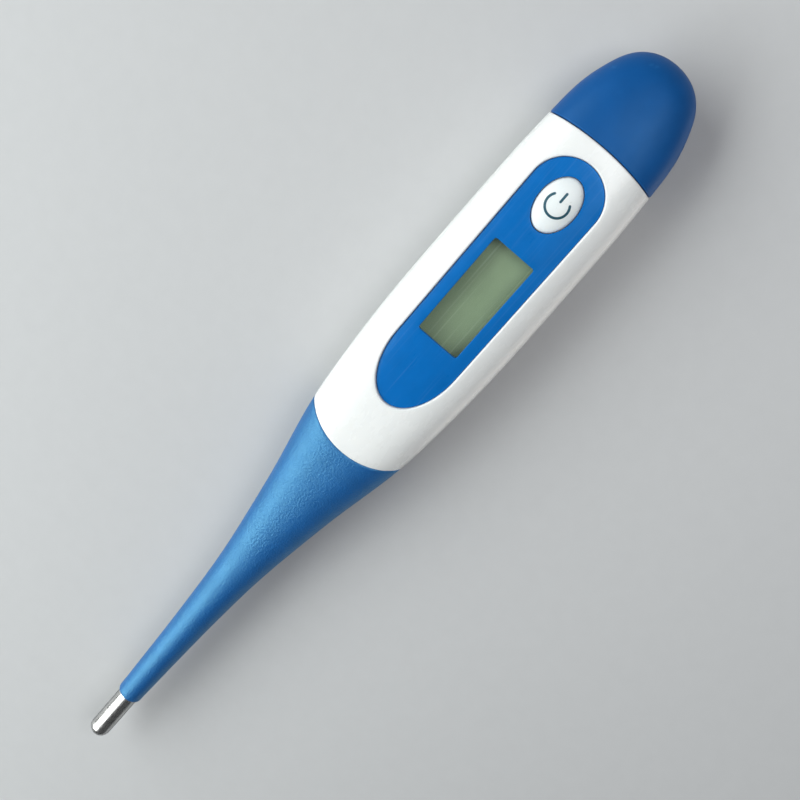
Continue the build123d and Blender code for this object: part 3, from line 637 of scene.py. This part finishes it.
WHITE = plastic(
    "white_body_plastic", (0.88, 0.895, 0.88), variation=0.012, roughness=0.27,
    roughness_spread=0.03, grain=22.0, grain_depth=0.0006, coat=0.12,
    scuff=(0.85, 0.86, 0.84), subsurface=0.15)
BUTTON_WHITE = plastic(
    "button_plastic", (0.86, 0.91, 0.905), variation=0.015, roughness=0.36,
    roughness_spread=0.06, grain=24.0, grain_depth=0.0010, wear=(0.76, 0.78, 0.76),
    subsurface=0.35)
PANEL_BLUE = plastic(
    "panel_blue_film", (0.0030, 0.135, 0.450), variation=0.05, roughness=0.32,
    roughness_spread=0.06, grain=30.0, grain_depth=0.0006, specular=0.22, streaks=0.12,
    tint=(0.5, 0.85, 1.0))
SLEEVE_BLUE = plastic(
    "sleeve_blue_rubber", (0.003, 0.090, 0.340), variation=0.06, roughness=0.42,
    roughness_spread=0.04, grain=3.4, grain_depth=0.120, scuff=(0.02, 0.16, 0.46),
    specular=1.0, subsurface=0.03, tint=(0.32, 0.82, 1.0), ior=1.85)
CAP_BLUE = plastic(
    "cap_blue_plastic", (0.005, 0.083, 0.290), variation=0.05, roughness=0.45, grain=10.0,
    grain_depth=0.004, wear=(0.01, 0.11, 0.34), scuff=(0.01, 0.10, 0.32), specular=0.28,
    tint=(0.5, 0.85, 1.0))
# the dark edge tint dims the steel's reflections towards its rims: painted shade in place of dark
# surroundings
STEEL = metal(
    "polished_probe_steel", (0.80, 0.79, 0.77), roughness=0.27, stretch=(0.15, 1, 1),
    grain=6.0, depth=0.0003, edge=(0.25, 0.27, 0.29))
INK = plastic(
    "symbol_ink_teal", (0.010, 0.085, 0.125), variation=0.15, roughness=0.45, grain=40.0,
    grain_depth=0.001)
FLOOR_CARD = plastic(
    "floor_card", (0.54, 0.545, 0.55), variation=0.01, roughness=0.75, grain=3.0,
    grain_depth=0.004, specular=0.2)

# looks of the CAD's material slots: each name and colour, then colour variation and
# roughness for a plastic, or roughness and the stretch of the fine lines for a metal
SLOT_LOOKS = {
    "adhesive": plastic("adhesive_sheet", (0.70, 0.70, 0.62), 0.05, 0.6, grain=12.0),
    "clear_window": clear_cover("clear_window_plastic"),
    "epoxy": plastic("potting_epoxy", (0.62, 0.55, 0.36), 0.08, 0.25, grain=8.0),
    "sensor_glass": plastic("bead_glass", (0.55, 0.25, 0.10), 0.1, 0.12, grain=30.0),
    "copper": metal("lead_copper", (0.80, 0.42, 0.24), 0.28, (0.1, 1, 1)),
    "silicone": plastic("seal_silicone", (0.52, 0.54, 0.54), 0.05, 0.55, grain=14.0),
    "tray_plastic": plastic("tray_plastic", (0.72, 0.72, 0.69), 0.03, 0.45, grain=18.0),
    "board_green": plastic("board_soldermask", (0.02, 0.15, 0.06), 0.15, 0.35, grain=10.0),
    "black_epoxy": plastic("blob_epoxy", (0.012, 0.012, 0.013), 0.2, 0.3, grain=6.0),
    "chip_ceramic": plastic("chip_ceramic", (0.24, 0.16, 0.10), 0.15, 0.4, grain=20.0),
    "display_film": display("display_film"),
    "display_glass": plastic("display_glass", (0.36, 0.44, 0.38), 0.04, 0.12, grain=20.0,
                             grain_depth=0.0003),
    "reflector_film": metal("display_reflector", (0.52, 0.55, 0.48), 0.4),
    "zebra_rubber": plastic("zebra_rubber", (0.05, 0.05, 0.05), 0.3, 0.6),
    "brass": metal("buzzer_brass", (0.75, 0.55, 0.25), 0.3, (1, 0.1, 1)),
    "piezo_ceramic": plastic("piezo_ceramic", (0.72, 0.69, 0.60), 0.05, 0.55, grain=14.0),
    "spring_metal": metal("contact_steel", (0.68, 0.67, 0.64), 0.28, (0.1, 1, 1)),
    "black_plastic": plastic("switch_black_plastic", (0.02, 0.02, 0.022), 0.2, 0.45),
    "cell_steel": metal("cell_steel", (0.70, 0.70, 0.69), 0.2, (1, 0.2, 1)),
    "gasket_plastic": plastic("cell_gasket", (0.05, 0.12, 0.07), 0.1, 0.5),
}

# each of the CAD's own parts gets its slot's look
for subpart in frame["record"]["subparts"]:
    look = SLOT_LOOKS.get(subpart["material_slot"])
    if look:
        mesh = nodes[subpart["node"]].data
        mesh.materials.clear()
        mesh.materials.append(look)


# ---- rings that the shells share ----
def skin_ring(x, inset=0.0, bow=0.0):
    """A closed ring round the outer form, its middle moved along X by bow."""
    start, end = RING_START_ANGLE, -math.pi - RING_START_ANGLE
    side = even_angles(x, start, end, SIDE_POINTS)
    top = even_angles(x, end, start - 2 * math.pi, TOP_POINTS)[1:-1]
    angles = np.concatenate([side, top])
    ring = skin_point(np.full(len(angles), x), angles, inset)
    moved = x + bow * bow_share(ring[:, 1])
    return skin_point(moved, angles, inset)


def channel_side(x, inset=0.0):
    """An open row down one side of the channel, under it and up the other side."""
    half_width = CHANNEL_HALF_WIDTH - inset
    low, high = CHANNEL_FLOOR_Z + inset, CHANNEL_CEILING_Z - inset
    turn = np.linspace(0, math.pi / 2, CHANNEL_CORNER_POINTS)
    corners = []
    for radius, middle_z, start in (
        (CHANNEL_TOP_RADIUS - inset, high - CHANNEL_TOP_RADIUS + inset, math.pi / 2),
        (CHANNEL_BOTTOM_RADIUS - inset, low + CHANNEL_BOTTOM_RADIUS - inset, 0),
    ):
        corners.append(np.stack([half_width - radius + radius * np.cos(start - turn),
                                 middle_z + radius * np.sin(start - turn)], -1))
    one_side = np.vstack(corners)
    path = np.vstack([one_side, one_side[::-1] * (-1, 1)])
    row = even_points(path, SIDE_POINTS, closed=False)
    return np.column_stack([np.full(SIDE_POINTS, x), row])


def channel_ring(x, inset=0.0, bow=0.0):
    """A closed ring round the channel's section, in step with the skin's rings."""
    side = channel_side(x, inset)
    y = np.linspace(side[-1, 1], side[0, 1], TOP_POINTS)[1:-1]
    top = np.stack([np.full(len(y), x), y, np.full(len(y), side[0, 2])], -1)
    ring = np.vstack([side, top])
    ring[:, 0] += bow * bow_share(ring[:, 1])
    return ring


def shrink(ring, inset, move_x):
    """Moves a ring along X and in towards the long axis by an inset."""
    out = ring.copy()
    out[:, 0] += move_x
    across = np.abs(ring[:, 1]).max()
    up = np.abs(ring[:, 2] - AXIS_Z).max()
    out[:, 1] *= (across - inset) / across
    out[:, 2] = AXIS_Z + (ring[:, 2] - AXIS_Z) * (up - inset) / up
    return out


def rounded_end(ring, radius, direction):
    """Rings that round off an end, from the full ring to the end face's outline."""
    return [shrink(ring, inset, direction * (radius - back)) for back, inset in rounding(radius)]


def circle(x, radius):
    """A closed round ring about the long axis, in step with the skin's rings."""
    count = SIDE_POINTS + TOP_POINTS - 2
    angles = RING_START_ANGLE - np.linspace(0, 2 * math.pi, count, endpoint=False)
    return np.stack([np.full(len(angles), x), radius * np.cos(angles),
                     AXIS_Z + radius * np.sin(angles)], -1)


def settle(piece, body, slot, *replaced):
    """Hides the CAD parts that a finished piece replaces, and attaches it to the body it rides;
    slot is not used.
    """
    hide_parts(*replaced)
    if body:
        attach(piece, body)


# ---- white body ----
def body_side(x):
    """An open row from the top sheet's +Y edge round the underside to its -Y edge."""
    half_width, _, exponent = form_at(x)
    start = math.acos((SHEET_HALF_WIDTH / half_width) ** (exponent / 2))
    angles = even_angles(x, start, -math.pi - start, SIDE_POINTS)
    straight_row = skin_point(np.full(SIDE_POINTS, x), angles)
    moved = x + parting_shift(x, straight_row[:, 1])
    row = skin_point(moved, angles)
    for end, y in ((0, SHEET_HALF_WIDTH), (-1, -SHEET_HALF_WIDTH)):
        row[end] = (moved[end], y, top_height(moved[end], y))
    return row


def body_top(x):
    """The points between a body row's two ends, across the top."""
    y = np.linspace(-SHEET_HALF_WIDTH, SHEET_HALF_WIDTH, TOP_POINTS)[1:-1]
    moved = x + parting_shift(x, y)
    return np.stack([moved, y, top_height(moved, y)], -1)


def add_recess(shell, openings):
    """The panel's recess: rounded rim, wall, and a floor with openings through it."""
    edge = [on_top(panel_loop(PANEL_GAP + back), drop) for back, drop in rounding(RIM_ROUND)]
    wall_foot = panel_loop(PANEL_GAP)
    shell.rings([*edge, on_top(wall_foot, RECESS_DEPTH)])
    shell.patch([wall_foot, *openings], lambda plan: on_top(plan, RECESS_DEPTH), RECESS_GRID)
    for opening in openings:
        shell.rings([on_top(opening, RECESS_DEPTH), at_level(opening, CHANNEL_CEILING_Z)])


def add_channel(shell, openings, mouth):
    """The inner channel: floor and sides, ceiling with the openings, and a closed front."""
    front = channel_ring(CHANNEL_FRONT_X)
    channel_x = np.linspace(CHANNEL_FRONT_X, CHANNEL_BACK_X, CHANNEL_STATIONS)
    shell.rings([*[channel_side(x) for x in channel_x], mouth[:SIDE_POINTS]], closed=False)
    near_edge = [(x, -front[0, 1]) for x in channel_x] + [mouth[SIDE_POINTS - 1, :2]]
    far_edge = [(x, front[0, 1]) for x in channel_x] + [mouth[0, :2]]
    ceiling = np.vstack([near_edge, mouth[SIDE_POINTS:, :2], far_edge[::-1],
                         front[SIDE_POINTS:, :2][::-1]])
    shell.patch([ceiling, *openings], lambda plan: at_level(plan, CHANNEL_CEILING_Z), RECESS_GRID)
    shell.lid(shell.add_points(front))


def add_nose(shell, first):
    """The end under the sleeve, from the skin's first ring to the nose that the sleeve grips."""
    nose_x = np.linspace(NOSE_BACK_X, NOSE_FRONT_X + NOSE_CHAMFER, NOSE_STATIONS)
    nose = [skin_ring(SLEEVE_EDGE_X, SLEEVE_WALL, SLEEVE_CROWN_X - SLEEVE_EDGE_X)]
    nose += [skin_ring(x, SLEEVE_WALL) for x in nose_x]
    nose.append(shrink(nose[-1], NOSE_CHAMFER, -NOSE_CHAMFER))
    rings = shell.rings([*rounded_end(first, SHELL_EDGE_ROUND, -1), *nose])
    shell.lid(rings[-1])


def build_body():
    """The white shell: its skin, the panel's recess, the channel inside and both ends."""
    shell = Shell()
    rows = [body_side(x) for x in np.linspace(BODY_FIRST_X, BODY_LAST_X, BODY_STATIONS)]
    first_top, last_top = body_top(BODY_FIRST_X), body_top(BODY_LAST_X)
    openings = [window_loop(LENS_MARGIN), button_loop(FLANGE_MARGIN)]
    mouth = channel_ring(BODY_LAST_X + SHELL_EDGE_ROUND, 0, CAP_CROWN_X - CAP_EDGE_X)

    # sides and underside, then the top sheet up to the recess
    shell.rings(rows, closed=False)
    outline = np.vstack([[row[-1] for row in rows], last_top,
                         [row[0] for row in reversed(rows)], first_top[::-1]])
    shell.patch([outline[:, :2], panel_loop(PANEL_GAP + RIM_ROUND)], on_top, TOP_GRID)

    add_recess(shell, openings)
    add_channel(shell, openings, mouth)
    add_nose(shell, np.vstack([rows[0], first_top]))
    last = np.vstack([rows[-1], last_top])
    shell.rings([*rounded_end(last, SHELL_EDGE_ROUND, 1), mouth])
    settle(shell.piece("white_body", WHITE), "body", "white_plastic", "main_housing")


# ---- face panel ----
def build_panel():
    """The blue face panel, cut out round the window and the button."""
    shell = Shell()
    edges = rounding(PANEL_EDGE_ROUND, PANEL_ROUND_STEPS)
    outlines = (
        lambda margin: panel_loop(-margin),
        window_loop,
        lambda margin: button_loop(BUTTON_GAP + margin),
    )
    for outline in outlines:
        lip = [on_top(outline(back), RECESS_LIP + drop) for back, drop in edges]
        shell.rings([*lip, on_top(outline(0), PANEL_UNDERSIDE)])
    for margin, drop in ((PANEL_EDGE_ROUND, RECESS_LIP), (0, PANEL_UNDERSIDE)):
        loops = [outline(margin) for outline in outlines]
        shell.patch(loops, lambda plan, drop=drop: on_top(plan, drop), PANEL_GRID)
    settle(shell.piece("blue_panel", PANEL_BLUE), "body", "panel_blue", "face_panel")


# ---- power button and its symbol ----
def dome_height(x, y):
    """Height of the ellipsoid that crowns the button."""
    along, across, up = DOME_SEMI_AXES
    share = ((x - BUTTON_X) / along) ** 2 + (y / across) ** 2
    return BUTTON_TOP_Z - up + up * np.sqrt(1 - share)


def on_dome(plan, drop=0.0):
    """Raises plan points to the button's dome, lowered by drop."""
    x, y = plan[:, 0], plan[:, 1]
    return np.stack([x, y, dome_height(x, y) - drop], -1)


def build_button():
    """The button: a domed crown, a straight side, and a flange that holds it in."""
    shell = Shell()
    crown = button_loop(-BUTTON_EDGE_ROUND)
    centre = np.array([BUTTON_X, 0])
    shares = np.linspace(BUTTON_CROWN_START, 1, BUTTON_CROWN_RINGS)
    rings = [on_dome(centre + (crown - centre) * share) for share in shares]
    rings += [on_dome(button_loop(-back), drop) for back, drop in rounding(BUTTON_EDGE_ROUND)[1:]]
    rings += [at_level(button_loop(margin), z) for margin, z in (
        (0, FLANGE_TOP_Z),
        (FLANGE_MARGIN - BUTTON_GAP, FLANGE_TOP_Z),
        (FLANGE_MARGIN - BUTTON_GAP, FLANGE_TOP_Z - FLANGE_THICKNESS),
        (0, FLANGE_TOP_Z - FLANGE_THICKNESS),
        (0, BUTTON_BOTTOM_Z),
    )]
    shell.solid(rings)
    settle(shell.piece("button_cap", BUTTON_WHITE), "button", "button_plastic", "power_button")


def ribbon(shell, path, half_width):
    """A thin printed line on the dome along a path, with round ends."""
    along = np.gradient(path, axis=0)
    along /= np.linalg.norm(along, axis=1)[:, None]
    sideways = np.stack([-along[:, 1], along[:, 0]], -1)
    from_start = distances(path)
    from_end = np.minimum(from_start, from_start[-1] - from_start)
    taper = np.sqrt(1 - (1 - np.clip(from_end / half_width, 0, 1)) ** 2)
    widths = half_width * np.maximum(taper, INK_END_WIDTH_SHARE)
    rings = []
    for point, side, width in zip(path, sideways, widths):
        across = np.array([point + side * width * share for share in INK_CROSS_SHARES])
        rings.append(np.vstack([on_dome(across, -INK_RISE), on_dome(across[::-1], INK_DEPTH)]))
    shell.solid(rings)


def build_symbol():
    """A plain power symbol: an open ring, and a bar in its gap."""
    shell = Shell()
    gap = math.radians(SYMBOL_GAP_DEGREES)
    turn = np.linspace(gap, 2 * math.pi - gap, SYMBOL_RING_POINTS)
    ring = np.stack([BUTTON_X + SYMBOL_RADIUS * np.cos(turn), SYMBOL_RADIUS * np.sin(turn)], -1)
    bar_x = BUTTON_X + np.linspace(SYMBOL_BAR_START, SYMBOL_BAR_END, SYMBOL_BAR_POINTS)
    ribbon(shell, ring, SYMBOL_LINE / 2)
    ribbon(shell, np.stack([bar_x, np.zeros(SYMBOL_BAR_POINTS)], -1), SYMBOL_LINE / 2)
    settle(shell.piece("symbol_print", INK), "button", "symbol_ink", "power_symbol")


# ---- flexible sleeve, in three pieces that meet midway between the bending places ----
def sleeve_bow(x):
    """How far the middle of a sleeve ring is drawn forward near the curved parting line."""
    return (SLEEVE_CROWN_X - SLEEVE_EDGE_X) * progress(x, SLEEVE_BOW_END_X, SLEEVE_BACK_X) ** 2


def sleeve_stations(back_x, front_x):
    """Even places on X along a stretch of the sleeve."""
    count = round((back_x - front_x) / SLEEVE_STEP) + 1
    return np.linspace(back_x, front_x, count)


def build_sleeve_back():
    """From the parting line to the first seam, with a pocket round the body's nose."""
    shell = Shell()
    back = SLEEVE_BACK_X - SHELL_EDGE_ROUND
    inner_inset = SLEEVE_WALL - SLEEVE_GRIP_GAP
    pocket_end = NOSE_FRONT_X - SLEEVE_GRIP_GAP
    inner = [skin_ring(x, inner_inset, sleeve_bow(x) if x > POCKET_BOW_END_X else 0)
             for x in np.linspace(pocket_end, SLEEVE_BACK_X, POCKET_STATIONS)]
    outer = [skin_ring(x, 0, sleeve_bow(x)) for x in sleeve_stations(back, SEAM_XS[0])]
    edge = rounded_end(outer[0], SHELL_EDGE_ROUND, 1)
    shell.solid([*inner, *reversed(edge), *outer[1:]])
    return shell.piece("sleeve_back", SLEEVE_BLUE)


def build_sleeve_middle():
    """Between the two seams."""
    shell = Shell()
    shell.solid([skin_ring(x) for x in sleeve_stations(*SEAM_XS)])
    return shell.piece("sleeve_middle", SLEEVE_BLUE)


def build_sleeve_front():
    """From the second seam to the front end, with a bore round the metal tip."""
    shell = Shell()
    front = SLEEVE_FRONT_X + SLEEVE_NOSE_ROUND
    outer = [skin_ring(x) for x in sleeve_stations(SEAM_XS[1], front)]
    edge = rounded_end(outer[-1], SLEEVE_NOSE_ROUND, -1)
    bore = [circle(x, PROBE_RADIUS + SLEEVE_GRIP_GAP)
            for x in (SLEEVE_FRONT_X, PROBE_BACK_X + SLEEVE_GRIP_GAP)]
    shell.solid([*outer, *edge[1:], *bore])
    return shell.piece("sleeve_front", SLEEVE_BLUE)


def lead_ring(x, side):
    """A round ring on one of the two leads, which twist together and then bend for slack."""
    twist = 2 * math.pi * LEAD_TWISTS * progress(x, *LEAD_TWIST_SPAN)
    slack = math.pi * progress(x, *LEAD_SLACK_SPAN)
    y = side * LEAD_SPREAD * math.cos(twist)
    z = (LEADS_Z + side * LEAD_SPREAD * math.sin(twist)
         - LEAD_SLACK * math.sin(2 * slack) * math.sin(slack))
    angles = np.linspace(0, 2 * math.pi, LEAD_POINTS, endpoint=False)
    return np.stack([np.full(len(angles), x), y + LEAD_RADIUS * np.cos(angles),
                     z + LEAD_RADIUS * np.sin(angles)], -1)


def build_leads(name, front_x, back_x):
    """A stretch of both leads."""
    shell = Shell()
    stations = np.linspace(front_x, back_x, round((back_x - front_x) / LEAD_STEP) + 1)
    for side in (-1, 1):
        shell.solid([lead_ring(x, side) for x in stations])
    return shell.piece(name, SLOT_LOOKS["copper"])


def build_sleeve():
    """The sleeve and the leads inside it, cut at the seams between the bending places."""
    cuts = (LEADS_HIGH.x, *SEAM_XS, LEADS_LOW.x)
    # each stretch's skin, the name of its leads, the bodies it joins, the segments it replaces
    stretches = (
        (build_sleeve_back, "leads_back", "body", "sleeve_rear",
         ("sleeve_root", "sleeve_rear_segment")),
        (build_sleeve_middle, "leads_middle", "sleeve_rear", "sleeve_middle",
         ("sleeve_middle_segment",)),
        (build_sleeve_front, "leads_front", "sleeve_middle", "probe_tip",
         ("sleeve_tip_segment",)),
    )
    for number, (build_skin, leads_name, behind, ahead, segments) in enumerate(stretches):
        skin = build_skin()
        settle(skin, None, "sleeve_rubber", *segments)
        leads = build_leads(leads_name, cuts[number + 1], cuts[number])
        settle(leads, None, "copper", "sensor_leads")
        for piece in (skin, leads):
            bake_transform(piece)


# ---- metal tip ----
def round_nose(front_x, radius):
    """Rings over half a ball, from near its point to its full radius."""
    turns = np.linspace(PROBE_NOSE_FIRST_TURN, math.pi / 2, PROBE_NOSE_RINGS)
    return [circle(front_x + radius * (1 - math.cos(turn)), radius * math.sin(turn))
            for turn in turns]


def build_probe():
    """A thin steel cap: round nose, straight tube, and the same again inside."""
    shell = Shell()
    inner_radius = PROBE_RADIUS - PROBE_WALL
    outer = round_nose(TIP_X, PROBE_RADIUS)
    inner = round_nose(TIP_X + PROBE_WALL, inner_radius)
    tube_x = np.linspace(outer[-1][0, 0], PROBE_BACK_X, PROBE_TUBE_RINGS)[1:]
    tube = [circle(x, PROBE_RADIUS) for x in tube_x]
    shell.solid([*outer, *tube, circle(PROBE_BACK_X, inner_radius), *reversed(inner)])
    settle(shell.piece("steel_tip", STEEL), "probe_tip", "polished_steel", "probe_cap")


# ---- battery cap ----
def build_cap():
    """The battery cap: a rounded end with a hollow plug that slides into the channel."""
    shell = Shell()
    bow = CAP_CROWN_X - CAP_EDGE_X

    # socket for the tray's end, the plug with its groove, and the face that meets the body
    socket_inset = PLUG_CLEARANCE + PLUG_WALL
    groove = (SEAL_X - SEAL_WIDTH / 2, SEAL_X + SEAL_WIDTH / 2)
    inner = [channel_ring(x, socket_inset)
             for x in (SOCKET_BACK_X, PLUG_BACK_X, CAP_EDGE_X, PLUG_FRONT_X)]
    plug = [channel_ring(PLUG_FRONT_X, PLUG_CLEARANCE + PLUG_EDGE)]
    plug += [channel_ring(x, PLUG_CLEARANCE + depth) for x, depth in (
        (PLUG_FRONT_X + PLUG_EDGE, 0), (groove[0], 0), (groove[0], SEAL_DEPTH),
        (groove[1], SEAL_DEPTH), (groove[1], 0))]
    plug.append(channel_ring(CAP_EDGE_X, PLUG_CLEARANCE, bow))

    # outer skin, its rings closing in on the rounded end
    start = CAP_EDGE_X + SHELL_EDGE_ROUND
    places = FORM_X[FORM_X > start][::CAP_SAMPLE_STEP]
    places = np.concatenate([[start], places[places < END_X - CAP_LAST_GAP]])
    outer = [skin_ring(x, 0, bow * progress(x, CAP_BOW_END_X, start) ** 2) for x in places]
    edge = rounded_end(outer[0], SHELL_EDGE_ROUND, -1)
    shell.solid([*inner, *plug, *reversed(edge), *outer[1:]])
    settle(shell.piece("battery_cap_shell", CAP_BLUE), "cap", "cap_blue", "battery_cap")


build_body()
build_panel()
build_button()
build_symbol()
build_sleeve()
build_probe()
build_cap()


# ---- backdrop, lights and camera ----
def build_floor():
    """A wide, flat, pale sheet under the object."""
    mesh = bpy.data.meshes.new("floor_sheet")
    ends = (-FLOOR_REACH * MM, FLOOR_REACH * MM)
    points = [(x, y, 0) for y in ends for x in ends]
    mesh.from_pydata(points, [], [(0, 1, 3, 2)])
    floor = bpy.data.objects.new("floor_sheet", mesh)
    bpy.context.scene.collection.objects.link(floor)
    mesh.materials.append(FLOOR_CARD)


def area_light(name, position, target, size, power, color):
    """A soft rectangular light, unseen by the camera; all but power and colour in millimetres."""
    light = bpy.data.lights.new(name, "AREA")
    light.shape = "RECTANGLE"
    light.size, light.size_y = size[0] * MM, size[1] * MM
    light.energy = power
    light.color = color
    thing = bpy.data.objects.new(name, light)
    thing.location = Vector(position) * MM
    aim = Vector(target) - Vector(position)
    thing.rotation_euler = aim.to_track_quat("-Z", "Y").to_euler()
    thing.visible_camera = False
    bpy.context.scene.collection.objects.link(thing)


def set_world(color, strength):
    """Faint, even light from all round."""
    world = bpy.data.worlds.new("soft_room")
    world.use_nodes = True
    background = world.node_tree.nodes["Background"]
    background.inputs["Color"].default_value = (*color, 1)
    background.inputs["Strength"].default_value = strength
    bpy.context.scene.world = world


def place_camera():
    """Looks down on the object, its long axis rising across the picture, the cap end nearer."""
    tilt, turn = math.radians(CAMERA_TILT), math.radians(CAMERA_TURN)
    in_picture = Vector((math.cos(turn), math.sin(turn), 0))
    towards = Vector((0, 0, 1))
    object_x = math.cos(tilt) * in_picture + math.sin(tilt) * towards
    object_z = -math.sin(tilt) * in_picture + math.cos(tilt) * towards
    object_y = object_z.cross(object_x)
    lean = Matrix.Rotation(math.radians(CAMERA_ROLL), 3, object_x)
    object_y, object_z = lean @ object_y, lean @ object_z
    to_world = Matrix([[axis[k] for k in range(3)] for axis in (object_x, object_y, object_z)])
    location = Vector(CAMERA_ANCHOR) - to_world @ Vector(ANCHOR_IN_CAMERA)
    camera_data = bpy.data.cameras.new("camera")
    camera_data.lens = CAMERA_LENS
    camera_data.clip_start = CAMERA_NEAREST * MM
    camera = bpy.data.objects.new("camera", camera_data)
    camera.matrix_world = Matrix.Translation(location * MM) @ to_world.to_4x4()
    bpy.context.scene.collection.objects.link(camera)
    bpy.context.scene.camera = camera


build_floor()
# a wide key from the +Y side, a small one beyond the tip, a fill over the cap end, and a
# faint warm bounce up from the floor
area_light("key_light", position=(-110, 240, 215), target=(-10, 0, 5), size=(600, 260),
           power=1.88, color=(0.96, 1.0, 0.99))
area_light("tip_light", position=(-300, 85, 245), target=(-60, 0, 5), size=(160, 110),
           power=0.13, color=(0.97, 1.0, 1.0))
area_light("top_light", position=(130, -70, 240), target=(10, 0, 5), size=(160, 160),
           power=0.30, color=(0.98, 0.98, 1.0))
area_light("warm_bounce", position=(42, -42, 0.6), target=(42, -42, 40), size=(80, 50),
           power=0.009, color=(1.0, 0.90, 0.82))
set_world(color=(0.90, 0.94, 1.0), strength=0.06)
place_camera()
bpy.context.scene.view_settings.view_transform = "Standard"
